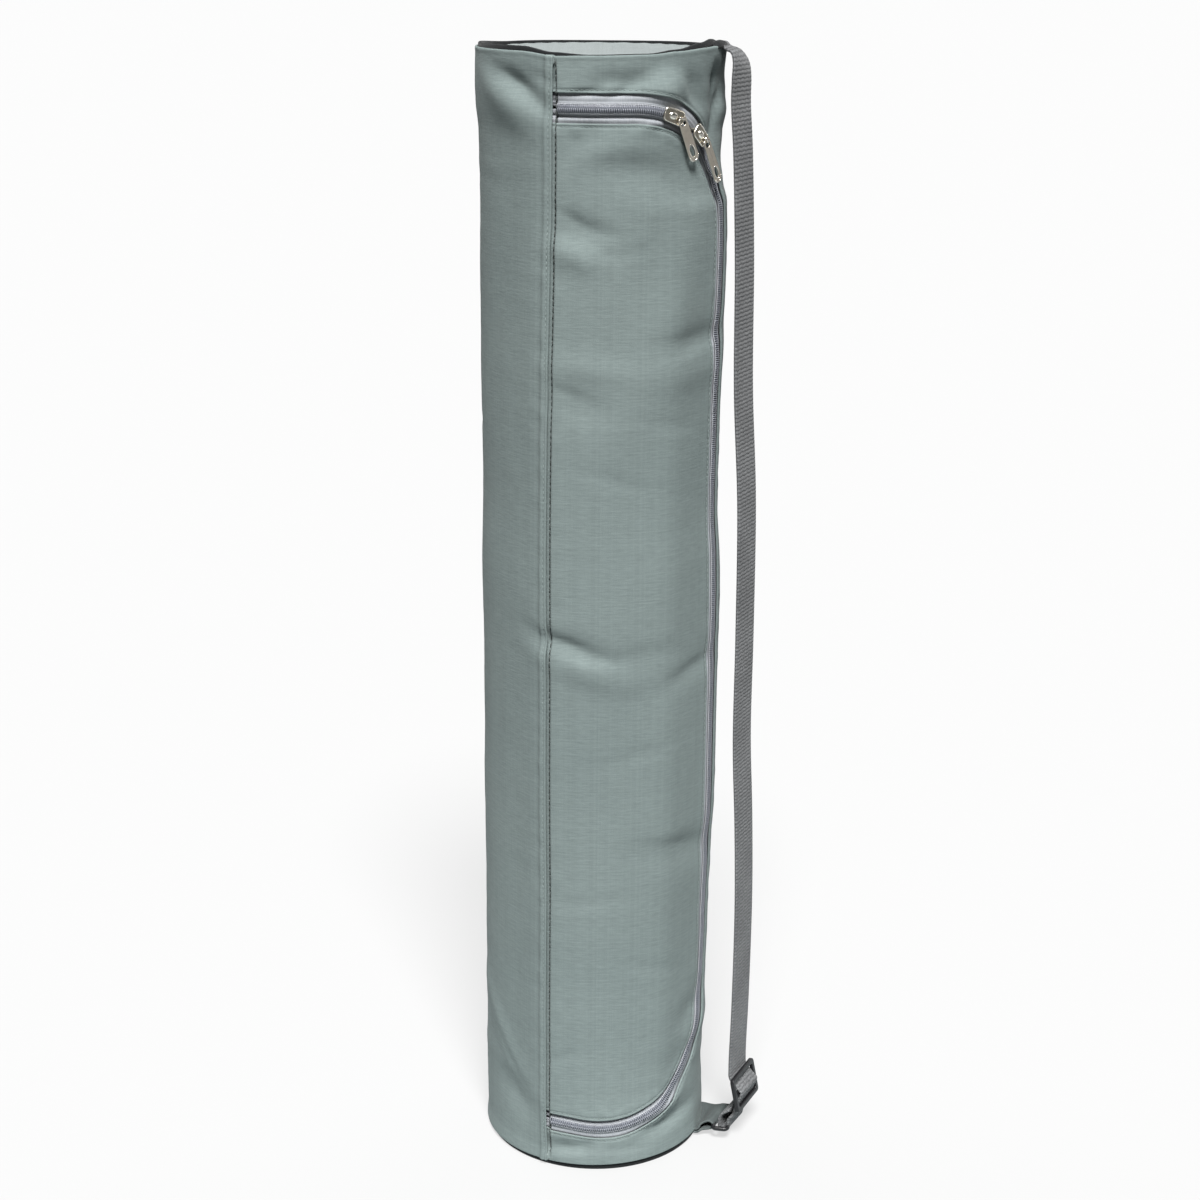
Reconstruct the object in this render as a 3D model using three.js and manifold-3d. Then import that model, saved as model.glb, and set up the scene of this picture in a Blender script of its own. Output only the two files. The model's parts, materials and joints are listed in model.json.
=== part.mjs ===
// Yoga mat bag: a tall round cloth bag with a D-shaped zipped door, two sliders and a side strap.
// Millimetres, +Z up, origin at the centre of the base on the floor. The bag's front looks along -Y.
// A place on the wall is an arc (mm round the wall from the front centre, positive towards +X),
// a height above the floor and a lift (mm out from the wall's outer face).
import * as THREE from "three";
import { mergeVertices } from "three/addons/utils/BufferGeometryUtils.js";
import Module from "manifold-3d";

const wasm = await Module();
wasm.setup();

// Driving dimensions
const gap = 0.3; // clearance between neighbouring pieces
const bag = { height: 700, diameter: 145, cloth: 1.2, columns: 40, rows: 28 };
const hem = { wave: 5 }; // the rim's highest wave above the bag's height
const topCover = { cloth: 1.2, sunk: 3.2, crown: 2.4 };
const topBinding = { width: 2.2, depth: 4.6 };
const base = { cloth: 2, bindingWidth: 2.2, bindingHeight: 4, wallStart: 1.3, wallRise: 1.9 };
const seam = { arc: -31, lapWidth: 7, thickness: 1.1 };
const zip = {
  topDrop: 29,
  bottomRise: 30,
  seamRise: 3,
  sideArc: 89.5,
  topCorner: 72,
  bottomCorner: 85,
  wallShow: 8,
  doorShow: 7.5,
  tapeTuck: 7,
  tapeSeat: 0.45,
  tapeThickness: 1,
  tapeSplit: 1,
  coilWidth: 5.6,
  coilHeight: 2,
  step: 13.5,
};
const slider = {
  length: 14,
  headWidth: 8.8,
  tailWidth: 8.2,
  plate: 1.1,
  play: 0.62,
  post: 0.8,
  postLength: 2.2,
  postInset: 1,
  domeHeight: 1.7,
  domeWidth: 4.4,
  domeLength: 6,
  fromSide: 48.5,
  spacing: 24.6,
};
const bridge = { place: 4.2, inner: 1.45, wall: 0.6, width: 0.9, rise: 1.9 };
const pull = {
  length: 28,
  thickness: 0.9,
  eyeWidth: 5.5,
  tipWidth: 6.6,
  bar: 0.4,
  eyeHalf: 1.9,
  eyeLength: 4.2,
  slotWidth: 3,
  slotLength: 7.5,
  slotFromTip: 6.6,
  slopeArc: 0.483,
  restLift: 1.7,
};
const webbing = { width: 25, thickness: 1.8, sewnDepth: 9 };
const strapLine = { rimTurn: 80, hangTurn: 77, faceTurn: 62, reach: 12 };
const slide = {
  width: 33,
  barWidth: 3.2,
  thickness: 2.6,
  arm: 3.2,
  topLift: 45,
  bars: 10.6,
  lean: 11,
  out: 2.6,
};
const ring = { width: 33, bar: 3, reach: 9, lift: 4.9, arm: 3.2, rise: 3.4, inset: 1.3 };
const tab = {
  seamWidth: 36,
  thickness: 1.4,
  lift: 2,
  layerGap: 0.5,
  root: 3,
  neck: 4,
  pinch: 0.5,
  slope: 1.4,
};

const materials = {
  cloth: { color: 0x82918e, roughness: 0.85, metalness: 0 },
  binding: { color: 0x141617, roughness: 0.8, metalness: 0 },
  tape: { color: 0xa5aab2, roughness: 0.75, metalness: 0 },
  coil: { color: 0x9296a2, roughness: 0.5, metalness: 0 },
  metal: { color: 0xc9c3b6, roughness: 0.28, metalness: 1 },
  webbing: { color: 0x6e6e70, roughness: 0.85, metalness: 0 },
  plastic: { color: 0x0d0e0f, roughness: 0.4, metalness: 0 },
};

// Shares of the bag's height, with width and depth as shares of its diameter
const sections = [
  { rise: 0.0, width: 0.997, depth: 0.992 },
  { rise: 0.043, width: 0.998, depth: 0.994 },
  { rise: 0.072, width: 0.991, depth: 0.99 },
  { rise: 0.121, width: 0.974, depth: 0.985 },
  { rise: 0.165, width: 0.993, depth: 0.99 },
  { rise: 0.267, width: 0.992, depth: 0.99 },
  { rise: 0.364, width: 1.004, depth: 0.996 },
  { rise: 0.55, width: 1.004, depth: 0.996 },
  { rise: 0.639, width: 0.989, depth: 0.99 },
  { rise: 0.724, width: 0.991, depth: 0.99 },
  { rise: 0.807, width: 0.993, depth: 0.99 },
  { rise: 0.886, width: 0.989, depth: 0.988 },
  { rise: 0.921, width: 0.975, depth: 0.985 },
  { rise: 0.943, width: 0.976, depth: 0.985 },
  { rise: 0.969, width: 0.998, depth: 0.99 },
  { rise: 1.0, width: 1.0, depth: 0.972 },
];

// Main dents (depth below 0) and swells. turn: share of the girth from the front centre;
// rise: share of the height; long and wide: shares of the diameter; lean: degrees from level
const folds = [
  { turn: -0.121, rise: 0.979, long: 0.2, wide: 0.05, lean: -28, depth: -0.011 },
  { turn: -0.135, rise: 0.962, long: 0.16, wide: 0.08, lean: -30, depth: 0.01 },
  { turn: 0.087, rise: 0.975, long: 0.1, wide: 0.075, lean: 8, depth: 0.014 },
  { turn: 0.052, rise: 0.985, long: 0.09, wide: 0.05, lean: 35, depth: -0.008 },
  { turn: 0.128, rise: 0.972, long: 0.13, wide: 0.055, lean: -55, depth: -0.011 },
  { turn: 0.011, rise: 0.982, long: 0.09, wide: 0.05, lean: 20, depth: -0.007 },
  { turn: 0.19, rise: 0.955, long: 0.2, wide: 0.1, lean: 85, depth: -0.012 },
  { turn: 0.065, rise: 0.905, long: 0.22, wide: 0.07, lean: -12, depth: -0.009 },
  { turn: 0.01, rise: 0.926, long: 0.22, wide: 0.06, lean: 8, depth: 0.006 },
  { turn: -0.028, rise: 0.861, long: 0.1, wide: 0.06, lean: -20, depth: -0.007 },
  { turn: -0.036, rise: 0.843, long: 0.1, wide: 0.05, lean: -20, depth: 0.006 },
  { turn: 0.15, rise: 0.767, long: 0.24, wide: 0.06, lean: 6, depth: -0.014 },
  { turn: 0.14, rise: 0.742, long: 0.2, wide: 0.07, lean: 6, depth: 0.006 },
  { turn: -0.014, rise: 0.749, long: 0.16, wide: 0.05, lean: -8, depth: 0.006 },
  { turn: -0.029, rise: 0.717, long: 0.14, wide: 0.06, lean: -10, depth: -0.007 },
  { turn: -0.042, rise: 0.509, long: 0.17, wide: 0.05, lean: -14, depth: -0.012 },
  { turn: -0.02, rise: 0.487, long: 0.2, wide: 0.05, lean: -16, depth: 0.007 },
  { turn: 0.07, rise: 0.499, long: 0.16, wide: 0.05, lean: 5, depth: -0.006 },
  { turn: 0.14, rise: 0.477, long: 0.2, wide: 0.05, lean: 14, depth: -0.011 },
  { turn: 0.13, rise: 0.309, long: 0.22, wide: 0.07, lean: -8, depth: -0.009 },
  { turn: 0.168, rise: 0.143, long: 0.12, wide: 0.07, lean: 30, depth: -0.01 },
  { turn: -0.167, rise: 0.117, long: 0.26, wide: 0.06, lean: -48, depth: 0.009 },
  { turn: -0.128, rise: 0.06, long: 0.14, wide: 0.07, lean: -20, depth: -0.008 },
  { turn: -0.035, rise: 0.026, long: 0.14, wide: 0.05, lean: 12, depth: -0.007 },
  { turn: 0.125, rise: 0.038, long: 0.2, wide: 0.05, lean: 14, depth: -0.009 },
  { turn: 0.45, rise: 0.93, long: 0.3, wide: 0.08, lean: 12, depth: -0.01 },
  { turn: -0.36, rise: 0.88, long: 0.26, wide: 0.07, lean: -14, depth: -0.009 },
  { turn: 0.38, rise: 0.6, long: 0.3, wide: 0.07, lean: 10, depth: -0.008 },
  { turn: -0.42, rise: 0.42, long: 0.3, wide: 0.07, lean: -10, depth: -0.008 },
  { turn: -0.33, rise: 0.16, long: 0.26, wide: 0.07, lean: 14, depth: -0.009 },
  { turn: 0.33, rise: 0.13, long: 0.28, wide: 0.08, lean: -12, depth: -0.009 },
];

// The rim's wave round the bag: turn as a share of the girth, heights as shares of hem.wave.
// tuck is 1 where the binding steps in for the strap's sewn end
const rimWaves = [
  { turn: -0.5, cloth: 0.1, binding: 0.3, tuck: 0 },
  { turn: -0.36, cloth: 0.15, binding: 0.4, tuck: 0 },
  { turn: -0.25, cloth: 0.25, binding: 0.6, tuck: 0 },
  { turn: -0.111, cloth: 0.3, binding: 0.75, tuck: 0 },
  { turn: -0.065, cloth: -0.1, binding: 0.2, tuck: 0 },
  { turn: -0.02, cloth: 0.0, binding: 0.1, tuck: 0 },
  { turn: 0.06, cloth: 0.05, binding: 0.15, tuck: 0 },
  { turn: 0.117, cloth: 0.34, binding: 0.6, tuck: 0 },
  { turn: 0.15, cloth: 0.36, binding: 0.85, tuck: 0.6 },
  { turn: 0.18, cloth: 0.36, binding: 1.25, tuck: 1 },
  { turn: 0.265, cloth: 0.36, binding: 1.2, tuck: 1 },
  { turn: 0.3, cloth: 0.3, binding: 0.7, tuck: 0.6 },
  { turn: 0.34, cloth: 0.15, binding: 0.4, tuck: 0 },
  { turn: 0.5, cloth: 0.1, binding: 0.3, tuck: 0 },
];

// The hanging stretch: rise as a share of the bag's height, out as a share of its diameter
// past the wall, turn in degrees added to the strap's own place round the bag
const strapWaves = [
  { rise: 0.96, out: 0.062, twist: 0.5 },
  { rise: 0.919, out: 0.078, twist: 0.75 },
  { rise: 0.83, out: 0.092, twist: 1 },
  { rise: 0.72, out: 0.103, twist: 1 },
  { rise: 0.62, out: 0.13, twist: 1 },
  { rise: 0.5, out: 0.138, twist: 1 },
  { rise: 0.4, out: 0.14, twist: 0.95 },
  { rise: 0.32, out: 0.158, twist: 1 },
  { rise: 0.24, out: 0.169, twist: 1 },
  { rise: 0.14, out: 0.168, twist: 1 },
];

// How the strap turns down past the rim: back from its outermost place and down from its
// highest one, as shares of strapLine.reach
const strapShoulder = [
  { back: 0.625, drop: 0.05, twist: 0.06 },
  { back: 0.3, drop: 0.2, twist: 0.14 },
  { back: 0.1, drop: 0.54, twist: 0.24 },
  { back: 0.05, drop: 1.17, twist: 0.36 },
];

// The strap's way through the slide. bar: which bar it passes, from the top one; clears: how
// many clearances it keeps on the bar's outer side; out and rise: shares of slide.bars
const slideThread = [
  { bar: 0, clears: -1, out: -0.05, rise: 0.66 },
  { bar: 0, clears: -1, out: 0, rise: 0 },
  { bar: 0.5, clears: 0, out: -0.02, rise: 0 },
  { bar: 1, clears: 1, out: 0, rise: 0.06 },
  { bar: 1, clears: 1, out: 0, rise: -0.06 },
  { bar: 1.5, clears: 0, out: 0.02, rise: 0 },
  { bar: 2, clears: -1, out: 0, rise: 0 },
  { bar: 2, clears: -1, out: -0.07, rise: -0.57 },
];

// Its turn round the ring's outer bar: degrees round the bar from its outer side, downwards,
// then out and rise as shares of slide.bars. The last place is the sewn end, behind the slide
const ringThread = [
  { degrees: 0, out: 0.085, rise: 0.57 },
  { degrees: 0, out: 0, rise: 0.095 },
  { degrees: 45, out: 0, rise: 0 },
  { degrees: 90, out: 0, rise: 0 },
  { degrees: 135, out: 0, rise: 0 },
  { degrees: 180, out: 0, rise: 0.057 },
  { degrees: 180, out: 0.095, rise: 0.755 },
];
const sewnEnd = { clears: -2.3, rise: -0.28 };

// Near the end seams, in shares of the height, the cloth is held true and folds fade in
const seamZone = { plain: 0.006, fade: 0.016 };

const radius = bag.diameter / 2;
const girth = Math.PI * bag.diameter;
const up = new THREE.Vector3(0, 0, 1);
const clothInside = -bag.cloth;
const tapeTop = clothInside - zip.tapeSeat;
const coilBottom = tapeTop + gap * 1.5;

const count = (n) => [...Array(n).keys()];
const shares = (n) => count(n + 1).map((i) => i / n);
const smooth = (t) => t * t * (3 - 2 * t);

// A smooth value from a table, between the two rows on either side of a place
function fromTable(rows, key, column, place) {
  let i = 0;
  while (i < rows.length - 2 && rows[i + 1][key] < place) i += 1;
  const a = rows[i];
  const b = rows[i + 1];
  const share = THREE.MathUtils.clamp((place - a[key]) / (b[key] - a[key]), 0, 1);
  return THREE.MathUtils.lerp(a[column], b[column], smooth(share));
}

// Shortest way round between two turns, both as shares of the girth
const turnBetween = (a, b) => a - b - Math.round(a - b);

function foldDepth(turn, rise) {
  let depth = 0;
  for (const fold of folds) {
    const across = turnBetween(turn, fold.turn) * Math.PI;
    const along = ((rise - fold.rise) * bag.height) / bag.diameter;
    const lean = THREE.MathUtils.degToRad(fold.lean);
    const a = (across * Math.cos(lean) + along * Math.sin(lean)) / fold.long;
    const b = (along * Math.cos(lean) - across * Math.sin(lean)) / fold.wide;
    depth += fold.depth * Math.exp(-a * a - b * b);
  }
  return depth * bag.diameter;
}

// The wall's soft shape fades out at the seams so that the rim and base stay true
function wallRadius(turn, rise) {
  const angle = turn * 2 * Math.PI;
  const width = fromTable(sections, "rise", "width", rise) * radius;
  const depth = fromTable(sections, "rise", "depth", rise) * radius;
  const round = 1 / Math.hypot(Math.sin(angle) / width, Math.cos(angle) / depth);
  const fromEnd = Math.min(rise, 1 - rise) - seamZone.plain;
  const clear = smooth(THREE.MathUtils.clamp(fromEnd / seamZone.fade, 0, 1));
  return round + foldDepth(turn, rise) * clear;
}

function onSmoothWall(turn, height, lift) {
  const angle = turn * 2 * Math.PI;
  const rise = THREE.MathUtils.clamp(height / bag.height, 0, 1);
  const reach = wallRadius(turn, rise) + lift;
  return new THREE.Vector3(reach * Math.sin(angle), -reach * Math.cos(angle), height);
}

// Rim and base heights
const rimAt = (turn, column) => fromTable(rimWaves, "turn", column, turn) * hem.wave;
const wallTop = (turn) => bag.height + rimAt(turn, "cloth");
const baseWave = (turn) => 0.5 + 0.5 * Math.cos((turn - 0.11) * 2 * Math.PI);
const wallBottom = (turn) => base.wallStart + base.wallRise * baseWave(turn);

// Corners of the cloth tube's facets. Rows are closer together near the ends
const rowShares = shares(bag.rows).map((t) => t - (0.62 * Math.sin(2 * Math.PI * t)) / (2 * Math.PI));
const columnTurns = count(bag.columns).map((column) => column / bag.columns - 0.5);
const tubeCorners = columnTurns.map((turn) =>
  rowShares.map((share) => {
    const height = THREE.MathUtils.lerp(wallBottom(turn), wallTop(turn), share);
    return onSmoothWall(turn, height, 0);
  })
);

// How far out the tube's facet lies at an angle and height
function facetReach(turn, height) {
  const column = Math.floor((turn + 0.5) * bag.columns + bag.columns) % bag.columns;
  const left = tubeCorners[column];
  const right = tubeCorners[(column + 1) % bag.columns];
  const angle = turn * 2 * Math.PI;
  const way = new THREE.Vector3(Math.sin(angle), -Math.cos(angle), 0);
  const ray = new THREE.Ray(new THREE.Vector3(0, 0, height), way);
  const hit = new THREE.Vector3();
  for (const row of count(rowShares.length - 1)) {
    if (left[row].z > height + 5 || left[row + 1].z < height - 5) continue;
    const [a, b, c, d] = [left[row], right[row], right[row + 1], left[row + 1]];
    if (ray.intersectTriangle(a, b, c, false, hit)) return Math.hypot(hit.x, hit.y);
    if (ray.intersectTriangle(a, c, d, false, hit)) return Math.hypot(hit.x, hit.y);
  }
  return wallRadius(turn, THREE.MathUtils.clamp(height / bag.height, 0, 1));
}

function onWall(arc, height, lift) {
  const turn = arc / girth;
  const angle = turn * 2 * Math.PI;
  const reach = facetReach(turn, height) + lift;
  return new THREE.Vector3(reach * Math.sin(angle), -reach * Math.cos(angle), height);
}

// An indexed shape from points and triangles
function toShape(points, index) {
  const geometry = new THREE.BufferGeometry();
  const positions = points.flatMap((p) => [p.x, p.y, p.z]);
  geometry.setAttribute("position", new THREE.Float32BufferAttribute(positions, 3));
  geometry.setIndex(index);
  return geometry;
}

// Closed solid from rings of points; every ring has the same count. round joins the last ring
// to the first, and otherwise the two ends are capped
function fromRings(rings, round) {
  const size = rings[0].length;
  const index = [];
  const last = round ? rings.length : rings.length - 1;
  for (let i = 0; i < last; i += 1) {
    const a = i * size;
    const b = ((i + 1) % rings.length) * size;
    for (let j = 0; j < size; j += 1) {
      const k = (j + 1) % size;
      index.push(a + j, b + j, b + k, a + j, b + k, a + k);
    }
  }
  if (!round) {
    const end = (rings.length - 1) * size;
    for (let j = 0; j < size / 2 - 1; j += 1) {
      index.push(j, j + 1, size - 1 - j);
      index.push(j + 1, size - 2 - j, size - 1 - j);
      index.push(end + j, end + size - 1 - j, end + j + 1);
      index.push(end + j + 1, end + size - 1 - j, end + size - 2 - j);
    }
  }
  return facingOut(toShape(rings.flat(), index));
}

// Turns every face round if the solid's volume comes out below zero
function facingOut(geometry) {
  const point = geometry.attributes.position;
  const index = geometry.index.array;
  const [a, b, c] = [new THREE.Vector3(), new THREE.Vector3(), new THREE.Vector3()];
  let volume = 0;
  for (let i = 0; i < index.length; i += 3) {
    a.fromBufferAttribute(point, index[i]);
    b.fromBufferAttribute(point, index[i + 1]);
    c.fromBufferAttribute(point, index[i + 2]);
    volume += a.dot(b.cross(c));
  }
  if (volume < 0) {
    for (let i = 0; i < index.length; i += 3) {
      [index[i + 1], index[i + 2]] = [index[i + 2], index[i + 1]];
    }
  }
  return geometry;
}

function toSolid(geometry) {
  const bare = geometry.clone();
  bare.deleteAttribute("normal");
  bare.deleteAttribute("uv");
  const merged = mergeVertices(bare, 1e-3);
  const vertProperties = new Float32Array(merged.attributes.position.array);
  const triVerts = new Uint32Array(merged.index.array);
  return new wasm.Manifold(new wasm.Mesh({ numProp: 3, vertProperties, triVerts }));
}

function toGeometry(solid) {
  const mesh = solid.getMesh();
  const geometry = new THREE.BufferGeometry();
  geometry.setAttribute("position", new THREE.Float32BufferAttribute(mesh.vertProperties, 3));
  geometry.setIndex([...mesh.triVerts]);
  return geometry;
}

const cut = (geometry, ...tools) =>
  toGeometry(tools.reduce((left, tool) => left.subtract(toSolid(tool)), toSolid(geometry)));
const join = (geometry, ...others) =>
  toGeometry(others.reduce((sum, other) => sum.add(toSolid(other)), toSolid(geometry)));

// The closed cloth tube, before the door is cut from it
function clothTube() {
  const rings = tubeCorners.map((corners, column) => {
    const turn = columnTurns[column];
    const inside = corners.map((corner) => onSmoothWall(turn, corner.z, clothInside));
    return [...corners, ...inside.reverse()];
  });
  return fromRings(rings, true);
}

// The zip's centre line, as points { arc, height }, offset to one side by a given amount.
// From the seam at the top, round the outer side, and back to the seam at the bottom
function zipLine(offset, seamArc) {
  const top = bag.height - zip.topDrop;
  const topCentre = { arc: zip.sideArc - zip.topCorner, height: top - zip.topCorner };
  const low = zip.bottomRise;
  const lowCentre = { arc: zip.sideArc - zip.bottomCorner, height: low + zip.bottomCorner };
  const cornerSteps = Math.round(zip.topCorner / 6);
  const lowSteps = Math.round(zip.bottomCorner / 6);
  const points = [];
  const topRun = topCentre.arc - seamArc;
  const topParts = Math.max(1, Math.round(topRun / zip.step));
  for (const t of count(topParts)) {
    points.push({ arc: seamArc + (topRun * t) / topParts, height: top + offset });
  }
  for (const t of shares(cornerSteps)) {
    points.push(onCorner(topCentre, zip.topCorner + offset, Math.PI / 2 - (t * Math.PI) / 2));
  }
  const run = topCentre.height - lowCentre.height;
  const parts = Math.max(2, Math.round(run / zip.step));
  for (const t of count(parts - 1)) {
    const height = topCentre.height - (run * (t + 1)) / parts;
    points.push({ arc: zip.sideArc + offset, height });
  }
  for (const t of shares(lowSteps)) {
    points.push(onCorner(lowCentre, zip.bottomCorner + offset, (-t * Math.PI) / 2));
  }
  const lowRun = lowCentre.arc - seamArc;
  const lowParts = Math.max(1, Math.round(lowRun / zip.step));
  for (const t of count(lowParts)) {
    const share = (t + 1) / lowParts;
    points.push({
      arc: lowCentre.arc - lowRun * share,
      height: low - offset + zip.seamRise * smooth(share),
    });
  }
  return points;
}

function onCorner(centre, cornerRadius, angle) {
  return {
    arc: centre.arc + cornerRadius * Math.cos(angle),
    height: centre.height + cornerRadius * Math.sin(angle),
  };
}

// A D-shaped plug from well inside the bag to well outside it, each end a fan round its middle
function doorPlug(offset, seamArc) {
  const outline = zipLine(offset, seamArc);
  const middle = { arc: (seamArc + zip.sideArc) / 2, height: bag.height / 2 };
  const place = ({ arc, height }, reach) => {
    const angle = arc / radius;
    return new THREE.Vector3(reach * Math.sin(angle), -reach * Math.cos(angle), height);
  };
  const inner = radius * 0.55;
  const outer = radius * 1.7;
  const size = outline.length;
  const points = [inner, outer].flatMap((reach) => [
    ...outline.map((p) => place(p, reach)),
    place(middle, reach),
  ]);
  const index = [];
  const far = size + 1;
  for (const i of count(size)) {
    const k = (i + 1) % size;
    index.push(size, i, k, far + size, far + k, far + i);
    index.push(i, far + k, k, i, far + i, far + k);
  }
  return facingOut(toShape(points, index));
}

// Lengths along the zip's centre line, and the frame at any of them
const zipCentre = zipLine(0, seam.arc);
const zipLengths = zipCentre.reduce((sum, point, i) => {
  const before = zipCentre[i - 1];
  const step = before ? Math.hypot(point.arc - before.arc, point.height - before.height) : 0;
  return [...sum, (sum[i - 1] ?? 0) + step];
}, []);
const zipTotal = zipLengths[zipLengths.length - 1];

function alongZip(length) {
  let i = 0;
  while (i < zipLengths.length - 2 && zipLengths[i + 1] < length) i += 1;
  const share = (length - zipLengths[i]) / (zipLengths[i + 1] - zipLengths[i]);
  const a = zipCentre[i];
  const b = zipCentre[i + 1];
  return {
    arc: THREE.MathUtils.lerp(a.arc, b.arc, share),
    height: THREE.MathUtils.lerp(a.height, b.height, share),
  };
}

// Right-handed frame on the wall: along the zip, across it away from the door, and out
function zipFrame(length, lift) {
  const step = 1.5;
  const before = alongZip(length - step);
  const after = alongZip(length + step);
  const place = alongZip(length);
  const along = onWall(after.arc, after.height, 0).sub(onWall(before.arc, before.height, 0));
  along.normalize();
  const angle = place.arc / radius;
  const out = new THREE.Vector3(Math.sin(angle), -Math.cos(angle), 0);
  out.addScaledVector(along, -out.dot(along)).normalize();
  const across = new THREE.Vector3().crossVectors(out, along);
  return { centre: onWall(place.arc, place.height, lift), along, across, out };
}

// One tape: four corners at each station, taken from two offset lines on the wall
function zipTape(nearOffset, farOffset) {
  const top = clothInside - zip.tapeSeat;
  const bottom = top - zip.tapeThickness;
  const start = seam.arc - seam.lapWidth / 2;
  const near = zipLine(nearOffset, start);
  const far = zipLine(farOffset, start);
  const rings = near.map((point, i) => [
    onWall(point.arc, point.height, bottom),
    onWall(far[i].arc, far[i].height, bottom),
    onWall(far[i].arc, far[i].height, top),
    onWall(point.arc, point.height, top),
  ]);
  return fromRings(rings, false);
}

// The closed teeth between two lengths along the zip, with a low arched section
function zipCoil(from, to) {
  const parts = Math.max(4, Math.round((to - from) / zip.step));
  const half = zip.coilWidth / 2;
  const bottom = coilBottom;
  const profile = [
    { across: -1, rise: 0 },
    { across: 1, rise: 0 },
    { across: 0.8, rise: 0.75 },
    { across: 0, rise: 1 },
    { across: -0.8, rise: 0.75 },
  ];
  const rings = shares(parts).map((t) => {
    const length = THREE.MathUtils.lerp(from, to, t);
    const place = alongZip(length);
    const before = alongZip(length - 0.5);
    const after = alongZip(length + 0.5);
    const way = new THREE.Vector2(after.arc - before.arc, after.height - before.height);
    way.normalize();
    return profile.map(({ across, rise }) => {
      const arc = place.arc - way.y * across * half;
      const height = place.height + way.x * across * half;
      return onWall(arc, height, bottom + rise * zip.coilHeight);
    });
  });
  return fromRings(rings, false);
}

// Sliders: each stands at a length along the zip, its head towards the other one
const topRun = zip.sideArc - zip.topCorner - seam.arc;
const intoCorner = zip.topCorner - slider.fromSide;
const upperLength = topRun + zip.topCorner * Math.asin(intoCorner / zip.topCorner);
const lowerLength = upperLength + slider.spacing;

const plateBottom = coilBottom + zip.coilHeight + slider.play;
const plateTop = plateBottom + slider.plate;
const flangeBottom = tapeTop + slider.play;
const sag = (slider.length * slider.length) / 8 / radius;
const underTop = tapeTop - zip.tapeThickness - slider.play - sag;
const underBottom = underTop - slider.plate;
const channelHalf = zip.coilWidth / 2 + slider.play + sag;

// Rounded outline, wide at its head (+X) and narrower at its tail
function sliderOutline() {
  const half = slider.length / 2;
  const head = slider.headWidth / 2;
  const tail = slider.tailWidth / 2;
  const corner = 3;
  const shape = new THREE.Shape();
  shape.moveTo(-half + corner, -tail);
  shape.lineTo(half - corner, -head);
  shape.quadraticCurveTo(half, -head, half, -head + corner);
  shape.lineTo(half, head - corner);
  shape.quadraticCurveTo(half, head, half - corner, head);
  shape.lineTo(-half + corner, tail);
  shape.quadraticCurveTo(-half, tail, -half, tail - corner);
  shape.lineTo(-half, -tail + corner);
  shape.quadraticCurveTo(-half, -tail, -half + corner, -tail);
  return shape;
}

function slab(shape, bottom, top, curveSegments) {
  const geometry = new THREE.ExtrudeGeometry(shape, {
    depth: top - bottom,
    bevelEnabled: false,
    curveSegments,
  });
  return geometry.translate(0, 0, bottom);
}

function block(length, width, bottom, top, x, y) {
  const geometry = new THREE.BoxGeometry(length, width, top - bottom);
  return geometry.translate(x, y, (top + bottom) / 2);
}

// The bridge is a small arch of wire, lengthwise on the plate, that holds the pull's bar
function bridgeArch(place) {
  const outer = bridge.inner + bridge.wall;
  const rise = bridge.rise + bridge.wall;
  const shape = new THREE.Shape();
  const foot = -slider.plate / 2;
  shape.moveTo(-outer, foot);
  shape.lineTo(-outer, rise * 0.55);
  shape.quadraticCurveTo(-outer, rise, -outer * 0.4, rise);
  shape.lineTo(outer * 0.4, rise);
  shape.quadraticCurveTo(outer, rise, outer, rise * 0.55);
  shape.lineTo(outer, foot);
  shape.lineTo(bridge.inner, foot);
  shape.lineTo(bridge.inner, bridge.rise * 0.7);
  shape.quadraticCurveTo(bridge.inner, bridge.rise, bridge.inner * 0.5, bridge.rise);
  shape.lineTo(-bridge.inner * 0.5, bridge.rise);
  shape.quadraticCurveTo(-bridge.inner, bridge.rise, -bridge.inner, bridge.rise * 0.7);
  shape.lineTo(-bridge.inner, foot);
  const geometry = slab(shape, -bridge.width / 2, bridge.width / 2, 3);
  return geometry.rotateX(Math.PI / 2).translate(place, 0, plateTop);
}

// headSide is +1 where the head is at the +X end, and the bridge is always towards +X
function sliderGeometry(headSide) {
  const outline = sliderOutline();
  const half = slider.length / 2;
  const upper = slab(outline, flangeBottom, plateTop, 3);
  const channel = block(slider.length * 2, channelHalf * 2, flangeBottom - 1, plateBottom, 0, 0);
  const under = slab(outline, underBottom, underTop, 3);
  const postAt = half - slider.postInset - slider.postLength / 2;
  const post = block(slider.postLength, slider.post, underBottom + gap, plateTop - gap, postAt, 0);
  const dome = new THREE.SphereGeometry(1, 10, 6);
  dome.scale(slider.domeLength / 2, slider.domeWidth / 2, slider.domeHeight);
  const body = join(cut(upper, channel), under, post);
  if (headSide < 0) body.rotateZ(Math.PI);
  const domeAt = bridge.place - bridge.inner - bridge.wall - slider.domeLength / 2;
  dome.translate(domeAt, 0, plateTop - gap);
  return join(body, cut(dome, channel), bridgeArch(bridge.place));
}

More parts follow.
